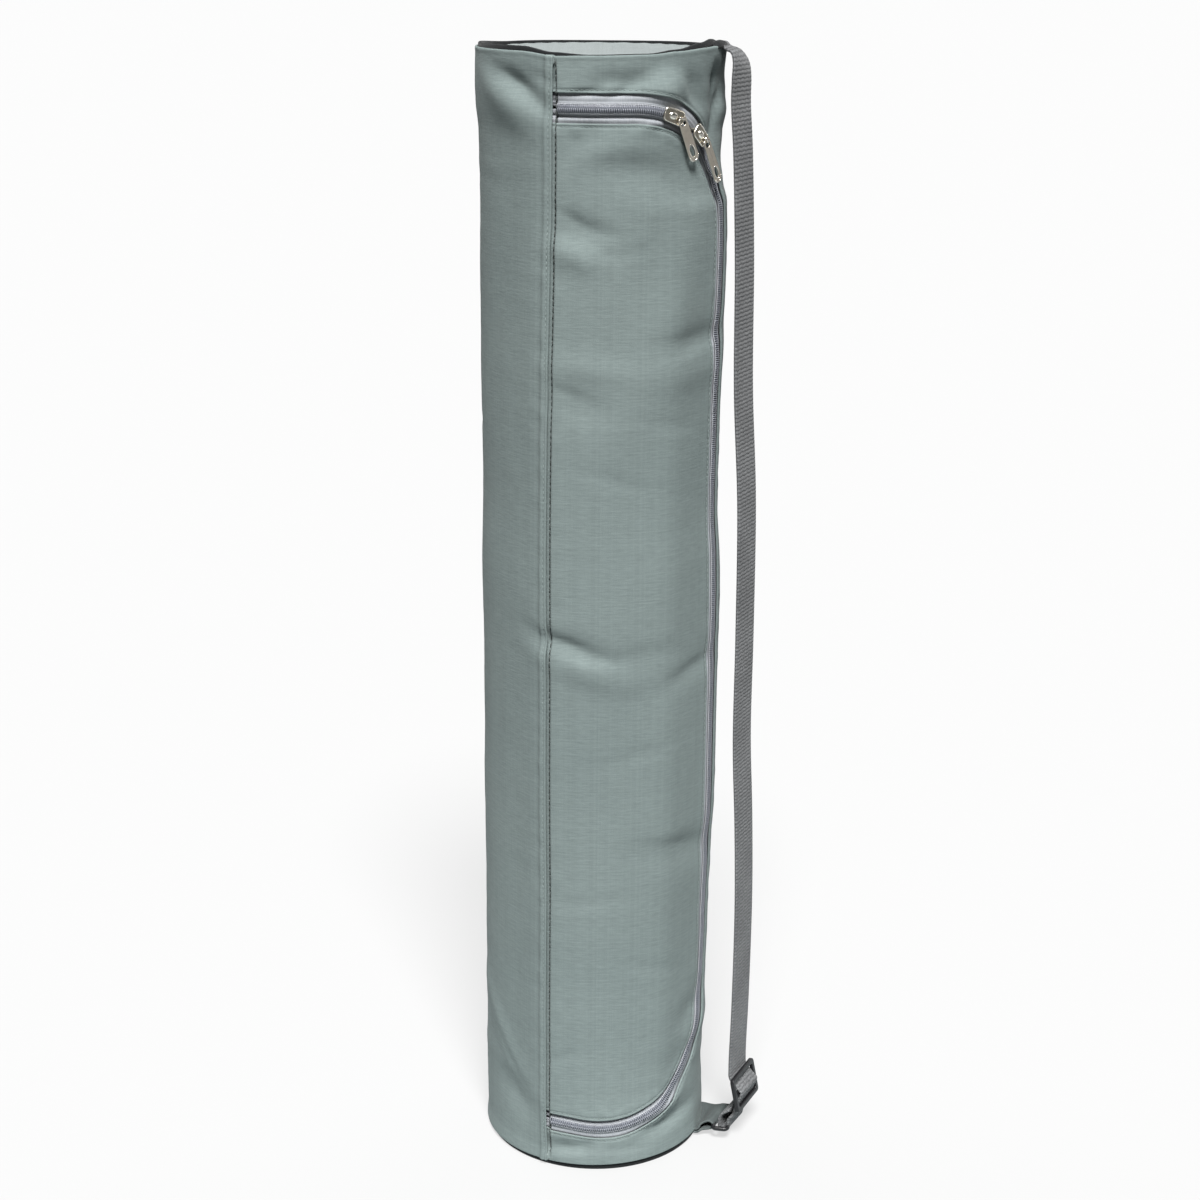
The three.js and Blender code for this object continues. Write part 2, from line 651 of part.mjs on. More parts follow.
// The pull lies along +X from its bar at the origin, flat in XY
function pullGeometry() {
  const eye = pull.eyeWidth / 2;
  const tip = pull.tipWidth / 2;
  const end = pull.length - tip;
  const shape = new THREE.Shape();
  shape.moveTo(-pull.bar, -eye + 0.7);
  shape.quadraticCurveTo(-pull.bar, -eye, pull.bar, -eye);
  shape.lineTo(end, -tip);
  shape.absarc(end, 0, tip, -Math.PI / 2, Math.PI / 2, false);
  shape.lineTo(pull.bar, eye);
  shape.quadraticCurveTo(-pull.bar, eye, -pull.bar, eye - 0.7);
  const hole = new THREE.Path();
  const wide = pull.eyeHalf;
  const deep = pull.bar + pull.eyeLength;
  hole.moveTo(pull.bar, -wide);
  hole.lineTo(pull.bar, wide);
  hole.lineTo(deep - 1, wide);
  hole.quadraticCurveTo(deep, wide * 0.8, deep, 0);
  hole.quadraticCurveTo(deep, -wide * 0.8, deep - 1, -wide);
  const slot = new THREE.Path();
  const slotAt = pull.length - pull.slotFromTip;
  slot.absellipse(slotAt, 0, pull.slotLength / 2, pull.slotWidth / 2, 0, Math.PI * 2, true);
  shape.holes.push(hole, slot);
  const plate = slab(shape, -pull.thickness / 2, pull.thickness / 2, 5);
  return plate;
}

// Axis frame of a pull: along its length at rest, across it (the hinge axis) and out
function pullFrame(length, tipLift) {
  const here = zipFrame(length, 0);
  const bar = here.centre
    .clone()
    .addScaledVector(here.along, bridge.place)
    .addScaledVector(here.out, plateTop + bridge.rise - Math.hypot(pull.bar, pull.thickness / 2) - gap / 2);
  const rest = alongZip(length + bridge.place);
  const drop = Math.sqrt(1 - pull.slopeArc * pull.slopeArc);
  const tipArc = rest.arc + pull.slopeArc * pull.length;
  const tip = onWall(tipArc, rest.height - drop * pull.length, tipLift);
  const along = tip.sub(bar).normalize();
  const across = new THREE.Vector3().crossVectors(here.out, along).normalize();
  const out = new THREE.Vector3().crossVectors(along, across);
  return { centre: bar, along, across, out };
}

// The strap as a line in the upright plane at its own turn round the bag: out from the axis, up
function strapStations() {
  const rimTurn = strapLine.rimTurn / 360;
  const wrap = bag.cloth / 2 + gap + webbing.thickness / 2;
  const rim = { out: radius - bag.cloth / 2, rise: wallTop(rimTurn) };
  const rows = [{ out: rim.out - wrap, rise: rim.rise - webbing.sewnDepth, twist: 0 }];
  for (const degrees of [0, 35, 65, 95]) {
    const angle = THREE.MathUtils.degToRad(degrees);
    const out = rim.out - Math.cos(angle) * wrap;
    rows.push({ out, rise: rim.rise + Math.sin(angle) * wrap, twist: 0 });
  }
  const shoulder = { out: rim.out + strapLine.reach, rise: rim.rise + wrap };
  for (const { back, drop, twist } of strapShoulder) {
    const out = shoulder.out - back * strapLine.reach;
    rows.push({ out, rise: shoulder.rise - drop * strapLine.reach, twist });
  }
  for (const wave of strapWaves) {
    const out = radius + wave.out * bag.diameter;
    rows.push({ out, rise: wave.rise * bag.height, twist: wave.twist });
  }
  return rows;
}

// Places of the slide's three bars and the ring's two, in the same plane
const hangOut = radius + strapWaves[strapWaves.length - 1].out * bag.diameter;
const slideLean = THREE.MathUtils.degToRad(slide.lean);
const slideBars = count(3).map((i) => ({
  out: hangOut + slide.out + Math.sin(slideLean) * slide.bars * i,
  rise: slide.topLift - Math.cos(slideLean) * slide.bars * i,
}));
const ringOuter = { out: hangOut - ring.inset, rise: ring.lift };
const ringInner = { out: ringOuter.out - ring.reach, rise: ring.lift + ring.rise };

function strapEnd() {
  const clear = slide.thickness / 2 + gap * 2 + webbing.thickness / 2;
  const wrap = ring.bar / 2 + gap + webbing.thickness / 2;
  const [top, , low] = slideBars;
  const through = slideThread.map(({ bar, clears, out, rise }) => ({
    out: THREE.MathUtils.lerp(top.out, low.out, bar / 2) + clears * clear + out * slide.bars,
    rise: THREE.MathUtils.lerp(top.rise, low.rise, bar / 2) + rise * slide.bars,
    twist: 1,
  }));
  const round = ringThread.map(({ degrees, out, rise }) => {
    const angle = THREE.MathUtils.degToRad(degrees);
    return {
      out: ringOuter.out + Math.cos(angle) * wrap + out * slide.bars,
      rise: ringOuter.rise - Math.sin(angle) * wrap + rise * slide.bars,
      twist: 1,
    };
  });
  const end = {
    out: low.out + sewnEnd.clears * clear,
    rise: low.rise + sewnEnd.rise * slide.bars,
    twist: 1,
  };
  return [...through, ...round, end];
}

// A place on the strap: across is mm from its middle. It follows the rim's curve where it is
// sewn in, and hangs flat, facing its own way, where twist is 1
function onStrap(station, across) {
  const turn = THREE.MathUtils.degToRad(strapLine.rimTurn);
  const hang = THREE.MathUtils.degToRad(strapLine.hangTurn);
  const face = THREE.MathUtils.degToRad(strapLine.faceTurn);
  const bent = turn + across / radius;
  const reach = station.out - radius + wallRadius(bent / (2 * Math.PI), 1);
  const curved = new THREE.Vector3(Math.sin(bent), -Math.cos(bent), 0).multiplyScalar(reach);
  const flat = new THREE.Vector3(Math.sin(hang), -Math.cos(hang), 0).multiplyScalar(station.out);
  flat.addScaledVector(new THREE.Vector3(Math.cos(face), Math.sin(face), 0), across);
  return curved.lerp(flat, smooth(station.twist)).setZ(station.rise);
}

// Webbing or a folded tab: a sheet of even thickness along stations, with columns across it
function sheet(stations, halfWidth, thickness, columns) {
  const last = stations.length - 1;
  const level = stations.map((station, i) => {
    const before = stations[Math.max(i - 1, 0)];
    const after = stations[Math.min(i + 1, last)];
    const slope = new THREE.Vector2(after.out - before.out, after.rise - before.rise).normalize();
    return { ...station, sideOut: slope.y, sideRise: -slope.x };
  });
  const rings = level.map((station, i) => {
    const half = typeof halfWidth === "function" ? halfWidth(i / last) : halfWidth;
    const face = (side) =>
      shares(columns).map((t) =>
        onStrap(
          {
            out: station.out + (station.sideOut * side * thickness) / 2,
            rise: station.rise + (station.sideRise * side * thickness) / 2,
            twist: station.twist,
          },
          THREE.MathUtils.lerp(-half, half, t)
        )
      );
    return [...face(-1), ...face(1).reverse()];
  });
  return fromRings(rings, false);
}

// Smooth stations through a few chosen ones, with the same number of parts between each two
function smoothStations(rows, parts) {
  const curve = new THREE.CatmullRomCurve3(
    rows.map((row) => new THREE.Vector3(row.out, row.rise, row.twist * 10)),
    false,
    "centripetal"
  );
  const points = curve.getPoints((rows.length - 1) * parts);
  return points.map((p) => ({ out: p.x, rise: p.y, twist: p.z / 10 }));
}

// A straight bar across the strap at a place in its plane, with a rounded section
function strapBar(place, length, size, tilt) {
  const geometry = new THREE.CylinderGeometry(0.5, 0.5, length, 8);
  geometry.scale(size.thick, 1, size.wide);
  geometry.rotateY(Math.PI / 8);
  const face = THREE.MathUtils.degToRad(strapLine.faceTurn);
  const hang = THREE.MathUtils.degToRad(strapLine.hangTurn);
  const side = new THREE.Vector3(Math.cos(face), Math.sin(face), 0);
  const out = new THREE.Vector3(Math.sin(face), -Math.cos(face), 0);
  const basis = new THREE.Matrix4().makeBasis(out, side, up);
  geometry.rotateY(tilt);
  geometry.applyMatrix4(basis);
  const at = new THREE.Vector3(Math.sin(hang), -Math.cos(hang), 0).multiplyScalar(place.out);
  return geometry.translate(at.x, at.y, place.rise);
}

// A side arm joins the bars' ends: a box from the first place to the last
function strapArm(from, to, side, width, size) {
  const face = THREE.MathUtils.degToRad(strapLine.faceTurn);
  const hang = THREE.MathUtils.degToRad(strapLine.hangTurn);
  const sideWay = new THREE.Vector3(Math.cos(face), Math.sin(face), 0);
  const radial = new THREE.Vector3(Math.sin(hang), -Math.cos(hang), 0);
  const a = radial.clone().multiplyScalar(from.out).setZ(from.rise);
  const b = radial.clone().multiplyScalar(to.out).setZ(to.rise);
  const along = b.clone().sub(a);
  const reach = along.length() + size.wide;
  along.normalize();
  const normal = new THREE.Vector3().crossVectors(along, sideWay).normalize();
  const geometry = new THREE.BoxGeometry(reach, size.arm, size.thick);
  geometry.applyMatrix4(new THREE.Matrix4().makeBasis(along, sideWay, normal));
  const middle = a.add(b).multiplyScalar(0.5);
  middle.addScaledVector(sideWay, (side * (width - size.arm)) / 2);
  return geometry.translate(middle.x, middle.y, middle.z);
}

function barsAndArms(places, width, size, tilt) {
  const bars = places.map((place) => strapBar(place, width - size.arm, size, tilt));
  const arms = [-1, 1].map((side) =>
    strapArm(places[0], places[places.length - 1], side, width, size)
  );
  return join(bars[0], ...bars.slice(1), ...arms);
}

// Flat discs and rings at the ends of the bag
function ringAtEnd(outerLift, width, bottomOf, topOf, riseShare) {
  const rings = count(bag.columns).map((column) => {
    const turn = column / bag.columns - 0.5;
    const angle = turn * 2 * Math.PI;
    const outer = wallRadius(turn, riseShare) + outerLift(turn);
    const place = (reach, height) =>
      new THREE.Vector3(reach * Math.sin(angle), -reach * Math.cos(angle), height);
    return [
      place(outer - width, bottomOf(turn)),
      place(outer, bottomOf(turn)),
      place(outer, topOf(turn)),
      place(outer - width, topOf(turn)),
    ];
  });
  return fromRings(rings, true);
}

function disc(edgeLift, riseShare, thickness, rows, heightAt) {
  const points = [];
  const index = [];
  const total = bag.columns * rows + 1;
  for (const side of [0, 1]) {
    points.push(new THREE.Vector3(0, 0, heightAt(0) + side * thickness));
    for (const row of count(rows)) {
      const share = (row + 1) / rows;
      for (const column of count(bag.columns)) {
        const turn = column / bag.columns - 0.5;
        const angle = turn * 2 * Math.PI;
        const reach = (wallRadius(turn, riseShare) + edgeLift(turn)) * share;
        const height = heightAt(share, turn) + side * thickness;
        points.push(new THREE.Vector3(reach * Math.sin(angle), -reach * Math.cos(angle), height));
      }
    }
  }
  const at = (side, row, column) =>
    side * total + (row < 0 ? 0 : 1 + row * bag.columns + (column % bag.columns));
  for (const column of count(bag.columns)) {
    for (const side of [0, 1]) {
      const face = (a, b, c) => (side ? index.push(a, b, c) : index.push(a, c, b));
      face(at(side, -1, 0), at(side, 0, column), at(side, 0, column + 1));
      for (const row of count(rows - 1)) {
        face(at(side, row, column), at(side, row + 1, column), at(side, row + 1, column + 1));
        face(at(side, row, column), at(side, row + 1, column + 1), at(side, row, column + 1));
      }
    }
    const edge = rows - 1;
    index.push(at(0, edge, column), at(0, edge, column + 1), at(1, edge, column + 1));
    index.push(at(0, edge, column), at(1, edge, column + 1), at(1, edge, column));
  }
  return facingOut(toShape(points, index));
}

const bagGroup = new THREE.Group();

function addPiece(name, finish, geometry, frame) {
  const mesh = new THREE.Mesh(geometry, new THREE.MeshStandardMaterial(materials[finish]));
  mesh.name = name;
  if (frame) {
    const basis = new THREE.Matrix4().makeBasis(frame.along, frame.across, frame.out);
    mesh.position.copy(frame.centre);
    mesh.quaternion.setFromRotationMatrix(basis);
  }
  bagGroup.add(mesh);
}

// Cloth wall and door
const tube = toSolid(clothTube());
const wallCut = doorPlug(zip.wallShow, seam.arc);
const doorCut = doorPlug(-zip.doorShow, seam.arc + gap);
addPiece("wall_panel", "cloth", toGeometry(tube.subtract(toSolid(wallCut))));
addPiece("door_panel", "cloth", toGeometry(tube.intersect(toSolid(doorCut))));

// Folded edge over the hinge seam
const lapHeights = rowShares.map((share) =>
  THREE.MathUtils.lerp(wallBottom(seam.arc / girth) + gap, wallTop(seam.arc / girth) - gap, share)
);
const lapRings = lapHeights.map((height) => {
  const inner = seam.arc - seam.lapWidth;
  const middle = seam.arc - seam.lapWidth * 0.4;
  return [
    onWall(inner, height, gap),
    onWall(middle, height, gap),
    onWall(seam.arc, height, gap),
    onWall(seam.arc, height, gap + seam.thickness),
    onWall(middle, height, gap + seam.thickness * 1.2),
    onWall(inner, height, gap + seam.thickness * 0.5),
  ];
});
addPiece("hinge_seam", "cloth", fromRings(lapRings, false));

// Zip
const split = zip.tapeSplit;
addPiece("zip_tape_wall", "tape", zipTape(split, zip.wallShow + zip.tapeTuck));
addPiece("zip_tape_door", "tape", zipTape(-split, -zip.doorShow - zip.tapeTuck));
const postInner = slider.length / 2 - slider.postInset - slider.postLength - gap;
addPiece("zip_coil_upper", "coil", zipCoil(gap, upperLength + postInner));
addPiece("zip_coil_lower", "coil", zipCoil(lowerLength - postInner, zipTotal - gap));
addPiece("upper_slider", "metal", sliderGeometry(1), zipFrame(upperLength, 0));
addPiece("lower_slider", "metal", sliderGeometry(-1), zipFrame(lowerLength, 0));
addPiece("upper_pull", "metal", pullGeometry(), pullFrame(upperLength, pull.restLift));
addPiece("lower_pull", "metal", pullGeometry(), pullFrame(lowerLength, pull.restLift + 2.6));

// Top
const tuckIn = (turn) => fromTable(rimWaves, "turn", "tuck", turn) * (webbing.thickness + gap);
const bindingLift = (turn) => clothInside - gap - tuckIn(turn);
const bindingTop = (turn) => bag.height + rimAt(turn, "binding");
const bindingBottom = (turn) => bindingTop(turn) - topBinding.depth;
addPiece("top_binding", "binding",
  ringAtEnd(bindingLift, topBinding.width, bindingBottom, bindingTop, 1));
const coverLift = (turn) => bindingLift(turn) - topBinding.width - gap;
const coverHeight = (share) =>
  bag.height - topCover.sunk - topCover.cloth + topCover.crown * (1 - share * share);
addPiece("top_panel", "cloth", disc(coverLift, 1, topCover.cloth, 3, coverHeight));

// Base
const baseLift = () => clothInside - gap;
addPiece("base_binding", "binding",
  ringAtEnd(baseLift, base.bindingWidth, () => 0, () => base.bindingHeight, 0));
const baseEdge = () => clothInside - gap - base.bindingWidth - gap;
addPiece("base_panel", "cloth", disc(baseEdge, 0, base.cloth, 1, () => 0));

// Strap, its adjuster, ring and tab
const strapRows = smoothStations([...strapStations(), ...strapEnd()], 2);
addPiece("strap", "webbing", sheet(strapRows, webbing.width / 2, webbing.thickness, 2));
const slideSize = { wide: slide.barWidth, thick: slide.thickness, arm: slide.arm };
addPiece("adjuster", "plastic", barsAndArms(slideBars, slide.width, slideSize, 0));
const ringSize = { wide: ring.bar, thick: ring.bar, arm: ring.arm };
addPiece("strap_ring", "plastic", barsAndArms([ringOuter, ringInner], ring.width, ringSize, 0));

const tabWrap = ring.bar / 2 + gap * 2 + tab.thickness / 2;
const tabStart = wallRadius(strapLine.rimTurn / 360, 0) + gap * 2;
const tabLow = tab.lift + tab.thickness / 2;
const tabHigh = tabLow + tab.thickness + tab.layerGap;
const tabTurn = (degrees, drop = 0, back = 0) => {
  const angle = THREE.MathUtils.degToRad(degrees);
  const out = ringInner.out + Math.cos(angle) * tabWrap - back;
  return { out, rise: ringInner.rise + Math.sin(angle) * tabWrap - drop, twist: back ? 0.9 : 1 };
};
const tabRows = smoothStations(
  [
    { out: tabStart, rise: tabLow, twist: 0 },
    { out: tabStart + tab.root, rise: tabLow + gap, twist: 0.3 },
    tabTurn(-90, tab.pinch, tab.neck),
    ...[-90, -45, 0, 45, 90].map((degrees) => tabTurn(degrees)),
    tabTurn(90, tab.slope, tab.neck),
    { out: tabStart + tab.root, rise: tabHigh + 1, twist: 0.3 },
    { out: tabStart, rise: tabHigh, twist: 0 },
  ],
  2
);
const tabHalf = (t) =>
  THREE.MathUtils.lerp(tab.seamWidth, webbing.width, smooth(Math.sin(t * Math.PI))) / 2;
addPiece("strap_tab", "cloth", sheet(tabRows, tabHalf, tab.thickness, 3));

export default bagGroup;
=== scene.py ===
import json
import math

import bmesh
import bpy
import numpy as np
from mathutils import Euler, Matrix, Vector, noise
from mathutils.geometry import delaunay_2d_cdt


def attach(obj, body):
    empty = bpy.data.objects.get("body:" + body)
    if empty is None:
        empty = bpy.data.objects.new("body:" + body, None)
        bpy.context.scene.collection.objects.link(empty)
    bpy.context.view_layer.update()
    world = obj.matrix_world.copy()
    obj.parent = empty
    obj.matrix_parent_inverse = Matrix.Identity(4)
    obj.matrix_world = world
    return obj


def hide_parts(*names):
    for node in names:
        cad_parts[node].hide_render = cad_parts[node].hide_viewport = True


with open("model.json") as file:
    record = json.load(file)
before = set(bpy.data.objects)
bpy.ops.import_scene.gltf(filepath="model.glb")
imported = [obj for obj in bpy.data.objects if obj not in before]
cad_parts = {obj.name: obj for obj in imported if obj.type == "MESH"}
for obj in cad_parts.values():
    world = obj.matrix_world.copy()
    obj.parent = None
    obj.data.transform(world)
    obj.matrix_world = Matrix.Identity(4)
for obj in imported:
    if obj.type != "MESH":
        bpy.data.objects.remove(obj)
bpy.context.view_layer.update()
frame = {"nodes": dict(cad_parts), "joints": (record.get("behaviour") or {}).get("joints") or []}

mm = 0.001

bag = {"height": 700, "diameter": 145, "wall": 1.2, "cloth": 0.5, "grid": 3.0}
hem = {"wave": 5, "roll": 0.6, "turned": 5, "zone": 14}
hinge = {
    "arc": -31, "under": 5, "lapWidth": 6.6, "lapSlope": 2.6, "lapLift": 1.1,
    "groove": 2.5, "grooveFrom": -28.8, "grooveWide": 1.5, "grooveTop": 16, "grooveFoot": 12,
}
zipLay = {
    "topDrop": 29, "bottomRise": 30, "seamRise": 3, "sideArc": 89.5,
    "topCorner": 72, "bottomCorner": 85, "wallShow": 8, "doorShow": 7.5,
}

# rise, width, depth: shares of the height and of the diameter
sections = [
    (0.0, 0.997, 0.992), (0.043, 0.998, 0.994), (0.072, 0.991, 0.99), (0.121, 0.974, 0.985),
    (0.165, 0.993, 0.99), (0.267, 0.992, 0.99), (0.364, 1.004, 0.996), (0.55, 1.004, 0.996),
    (0.639, 0.989, 0.99), (0.724, 0.991, 0.99), (0.807, 0.993, 0.99), (0.886, 0.989, 0.988),
    (0.921, 0.975, 0.985), (0.943, 0.976, 0.985), (0.969, 0.998, 0.99), (1.0, 1.0, 0.972),
]

# turn, rise, long, wide, lean in degrees, depth: the main dents (below 0) and swells
folds = [
    (-0.121, 0.979, 0.2, 0.05, -28, -0.011), (-0.135, 0.962, 0.16, 0.08, -30, 0.01),
    (0.087, 0.975, 0.1, 0.075, 8, 0.014), (0.052, 0.985, 0.09, 0.05, 35, -0.008),
    (0.128, 0.972, 0.13, 0.055, -55, -0.011), (0.011, 0.982, 0.09, 0.05, 20, -0.007),
    (0.19, 0.955, 0.2, 0.1, 85, -0.012), (0.065, 0.905, 0.22, 0.07, -12, -0.009),
    (0.01, 0.926, 0.22, 0.06, 8, 0.006), (-0.028, 0.861, 0.1, 0.06, -20, -0.011),
    (-0.036, 0.843, 0.1, 0.05, -20, 0.01), (0.15, 0.767, 0.24, 0.06, 6, -0.009),
    (0.14, 0.742, 0.2, 0.07, 6, 0.006), (-0.014, 0.749, 0.16, 0.05, -8, 0.006),
    (-0.029, 0.717, 0.14, 0.06, -10, -0.007), (-0.042, 0.509, 0.17, 0.05, -14, -0.012),
    (-0.02, 0.487, 0.2, 0.05, -16, 0.007), (0.07, 0.499, 0.16, 0.05, 5, -0.003),
    (0.14, 0.477, 0.2, 0.05, 14, -0.007), (0.13, 0.309, 0.22, 0.07, -8, -0.009),
    (0.168, 0.143, 0.12, 0.07, 30, -0.01), (-0.167, 0.117, 0.26, 0.06, -48, 0.009),
    (-0.128, 0.06, 0.14, 0.07, -20, -0.008), (-0.035, 0.026, 0.14, 0.05, 12, -0.007),
    (0.125, 0.038, 0.2, 0.05, 14, -0.009), (0.45, 0.93, 0.3, 0.08, 12, -0.01),
    (-0.36, 0.88, 0.26, 0.07, -14, -0.009), (0.38, 0.6, 0.3, 0.07, 10, -0.008),
    (-0.42, 0.42, 0.3, 0.07, -10, -0.008), (-0.33, 0.16, 0.26, 0.07, 14, -0.009),
    (0.33, 0.13, 0.28, 0.08, -12, -0.009), (0.055, 0.81, 0.7, 0.13, 62, -0.006),
    (0.1, 0.79, 0.6, 0.12, 65, 0.004), (0.03, 0.63, 0.8, 0.16, 60, -0.004),
    (0.0, 0.36, 0.9, 0.16, 65, -0.004), (-0.03, 0.93, 0.12, 0.05, 40, -0.005),
    (-0.13, 0.3, 0.8, 0.1, 80, -0.003),
]

# The finer creases, in the same columns
fineFolds = [
    (-0.09, 0.985, 0.12, 0.022, -24, -0.0035), (-0.1, 0.968, 0.14, 0.025, -34, -0.003),
    (0.03, 0.975, 0.08, 0.02, 30, -0.003), (0.105, 0.968, 0.07, 0.02, -48, -0.003),
    (-0.02, 0.972, 0.05, 0.018, 12, -0.003), (0.06, 0.945, 0.06, 0.02, 20, 0.0025),
    (-0.04, 0.873, 0.09, 0.02, -26, -0.0032), (0.0, 0.862, 0.09, 0.024, -12, -0.0025),
    (0.03, 0.845, 0.12, 0.02, 10, -0.002), (0.12, 0.772, 0.16, 0.022, 4, -0.0025),
    (0.15, 0.757, 0.16, 0.02, 8, 0.0028), (0.1, 0.7, 0.14, 0.03, -10, -0.002),
    (-0.045, 0.73, 0.09, 0.02, -16, -0.003), (0.02, 0.655, 0.16, 0.03, -14, -0.002),
    (-0.045, 0.512, 0.12, 0.018, -16, -0.005), (-0.01, 0.499, 0.12, 0.02, -6, -0.003),
    (-0.03, 0.496, 0.14, 0.018, -14, 0.003), (0.05, 0.503, 0.12, 0.02, 8, -0.0015),
    (0.145, 0.481, 0.12, 0.018, 12, -0.0025), (0.06, 0.41, 0.16, 0.03, 12, -0.002),
    (0.12, 0.318, 0.13, 0.022, -10, -0.003), (-0.01, 0.27, 0.18, 0.03, 8, -0.002),
    (0.09, 0.2, 0.16, 0.03, -16, -0.002), (-0.045, 0.115, 0.1, 0.02, 20, -0.0025),
    (-0.035, 0.02, 0.1, 0.024, 16, -0.012), (0.045, 0.02, 0.09, 0.018, -6, -0.003),
    (0.122, 0.036, 0.14, 0.024, 5, -0.012), (0.11, 0.054, 0.12, 0.026, 12, 0.007),
    (-0.15, 0.1, 0.18, 0.024, -46, -0.003), (-0.12, 0.2, 0.2, 0.03, 70, -0.0025),
    (-0.17, 0.45, 0.5, 0.04, 88, -0.002), (-0.13, 0.62, 0.5, 0.04, 92, 0.002),
    (-0.16, 0.8, 0.3, 0.035, 80, -0.0025), (0.42, 0.72, 0.26, 0.03, 14, -0.003),
    (-0.45, 0.55, 0.26, 0.03, -10, -0.003), (-0.38, 0.3, 0.22, 0.03, 18, -0.003),
    (0.184, 0.982, 0.13, 0.02, 96, -0.007), (0.2, 0.955, 0.1, 0.022, 60, -0.006),
    (0.36, 0.3, 0.24, 0.03, -12, -0.003), (0.48, 0.12, 0.24, 0.03, 8, -0.003),
    (-0.3, 0.7, 0.24, 0.03, -18, -0.003), (0.3, 0.85, 0.2, 0.03, 20, -0.003),
]

# turn, cloth, binding as shares of the hem's wave; tuck is 1 where the binding steps in
rimWaves = [
    (-0.5, 0.1, 0.1, 0), (-0.36, 0.15, 0.2, 0), (-0.25, 0.25, 0.6, 0), (-0.111, 0.3, 0.75, 0),
    (-0.065, -0.1, 0.2, 0), (-0.02, 0.0, 0.0, 0), (0.06, 0.12, 0.12, 0), (0.1, 0.38, 0.48, 0),
    (0.15, 0.62, 1.1, 0.3), (0.175, 0.7, 1.4, 0.4), (0.205, 0.5, 1.1, 0.8), (0.25, 0.15, 0.6, 1),
    (0.3, 0.2, 0.35, 0.6), (0.34, 0.15, 0.25, 0), (0.5, 0.1, 0.1, 0),
]

# rise, then mm that the left and right sides swell beyond the sections
sideSwells = [
    (0.0, 0.4, 0.0), (0.02, -0.6, -0.6), (0.045, -0.4, -1.3), (0.07, 0.4, -1.6), (0.092, 1.2, -0.4),
    (0.121, 1.6, 2.3), (0.17, 0.5, 0.2), (0.225, 0.1, 0.7), (0.3, 0.4, 1.9), (0.34, 0.0, 2.4),
    (0.42, -0.4, 2.2), (0.53, -0.2, 2.3), (0.57, 0.0, 1.8), (0.61, 0.0, 0.6), (0.7, 0.5, 0.8),
    (0.77, 0.6, 1.6), (0.84, 0.6, 2.3), (0.875, 0.6, 1.8), (0.893, 0.7, -0.9), (0.912, 1.9, -1.8),
    (0.933, 2.3, -1.1), (0.95, 3.1, 0.7), (0.966, 2.4, -1.4), (0.982, 2.2, -2.1), (1.0, 1.7, -1.4),
]

# turn, then mm that the panels stand off the round, lower down and near the rim
panelForms = [
    (-0.5, 0.0, 0.0), (-0.25, 0.0, 0.0), (-0.135, -2.1, -1.6), (-0.074, 1.3, 1.0), (-0.03, -0.6, -0.4),
    (0.02, -1.2, -0.7), (0.065, -0.6, 0.0), (0.095, 0.5, 0.0), (0.14, -1.4, 0.0), (0.2, 0.0, 0.0),
    (0.5, 0.0, 0.0),
]

radius = bag["diameter"] / 2
girth = math.pi * bag["diameter"]
seamZone = {"plain": 0.006, "fade": 0.016}
panelZone = {"topFrom": 0.83, "topOver": 0.06, "footFade": 0.08, "rimFade": 0.05}
foldGain = {"broad": 1.4, "fine": 1.8, "nearRim": 0.75, "rimFrom": 0.9, "rimOver": 0.04}
swellFocus = 1.5
footLift = {"least": 1.2, "more": 2.7, "highTurn": 0.11}
seamLean = {"base": -0.7, "top": 3.3, "from": 425, "to": 665, "reach": 16}


def smooth(t):
    t = np.clip(t, 0.0, 1.0)
    return t * t * (3 - 2 * t)


# A soft round hill, 1 high at its middle
def hill(place, middle, width):
    return np.exp(-((place - middle) / width) ** 2)


def fromTable(rows, column, place):
    keys = np.array([row[0] for row in rows], float)
    values = np.array([row[column] for row in rows], float)
    i = np.clip(np.searchsorted(keys, place, side="right") - 1, 0, len(keys) - 2)
    share = smooth((place - keys[i]) / (keys[i + 1] - keys[i]))
    return values[i] + (values[i + 1] - values[i]) * share


def foldDepth(turn, rise, rows):
    depth = np.zeros(np.broadcast(turn, rise).shape)
    for foldTurn, foldRise, long, wide, lean, deep in rows:
        across = turn - foldTurn
        across = (across - np.round(across)) * math.pi
        along = (rise - foldRise) * bag["height"] / bag["diameter"]
        cosine, sine = math.cos(math.radians(lean)), math.sin(math.radians(lean))
        a = (across * cosine + along * sine) / long
        b = (along * cosine - across * sine) / wide
        depth += deep * np.exp(-a * a - b * b)
    return depth * bag["diameter"]


# How far the wall stands from the bag's middle line
def wallRadius(turn, rise):
    angle = turn * 2 * math.pi
    width = fromTable(sections, 1, rise) * radius
    depth = fromTable(sections, 2, rise) * radius
    plain = 1 / np.hypot(np.sin(angle) / width, np.cos(angle) / depth)
    clear = smooth((np.minimum(rise, 1 - rise) - seamZone["plain"]) / seamZone["fade"])
    dents = foldDepth(turn, rise, folds) * foldGain["broad"]
    dents = dents + foldDepth(turn, rise, fineFolds) * foldGain["fine"]
    dents = dents * (1 + foldGain["nearRim"] * smooth((rise - foldGain["rimFrom"]) / foldGain["rimOver"]))
    around = turn - np.round(turn)
    nearTop = smooth((rise - panelZone["topFrom"]) / panelZone["topOver"])
    panels = fromTable(panelForms, 1, around) * (1 - nearTop) + fromTable(panelForms, 2, around) * nearTop
    panels = panels * smooth(rise / panelZone["footFade"]) * smooth((1 - rise) / panelZone["rimFade"])
    dents = dents + panels
    side = np.sin(angle)
    left = fromTable(sideSwells, 1, rise) * np.clip(-side, 0, 1) ** swellFocus
    right = fromTable(sideSwells, 2, rise) * np.clip(side, 0, 1) ** swellFocus
    return plain + dents * clear + left + right


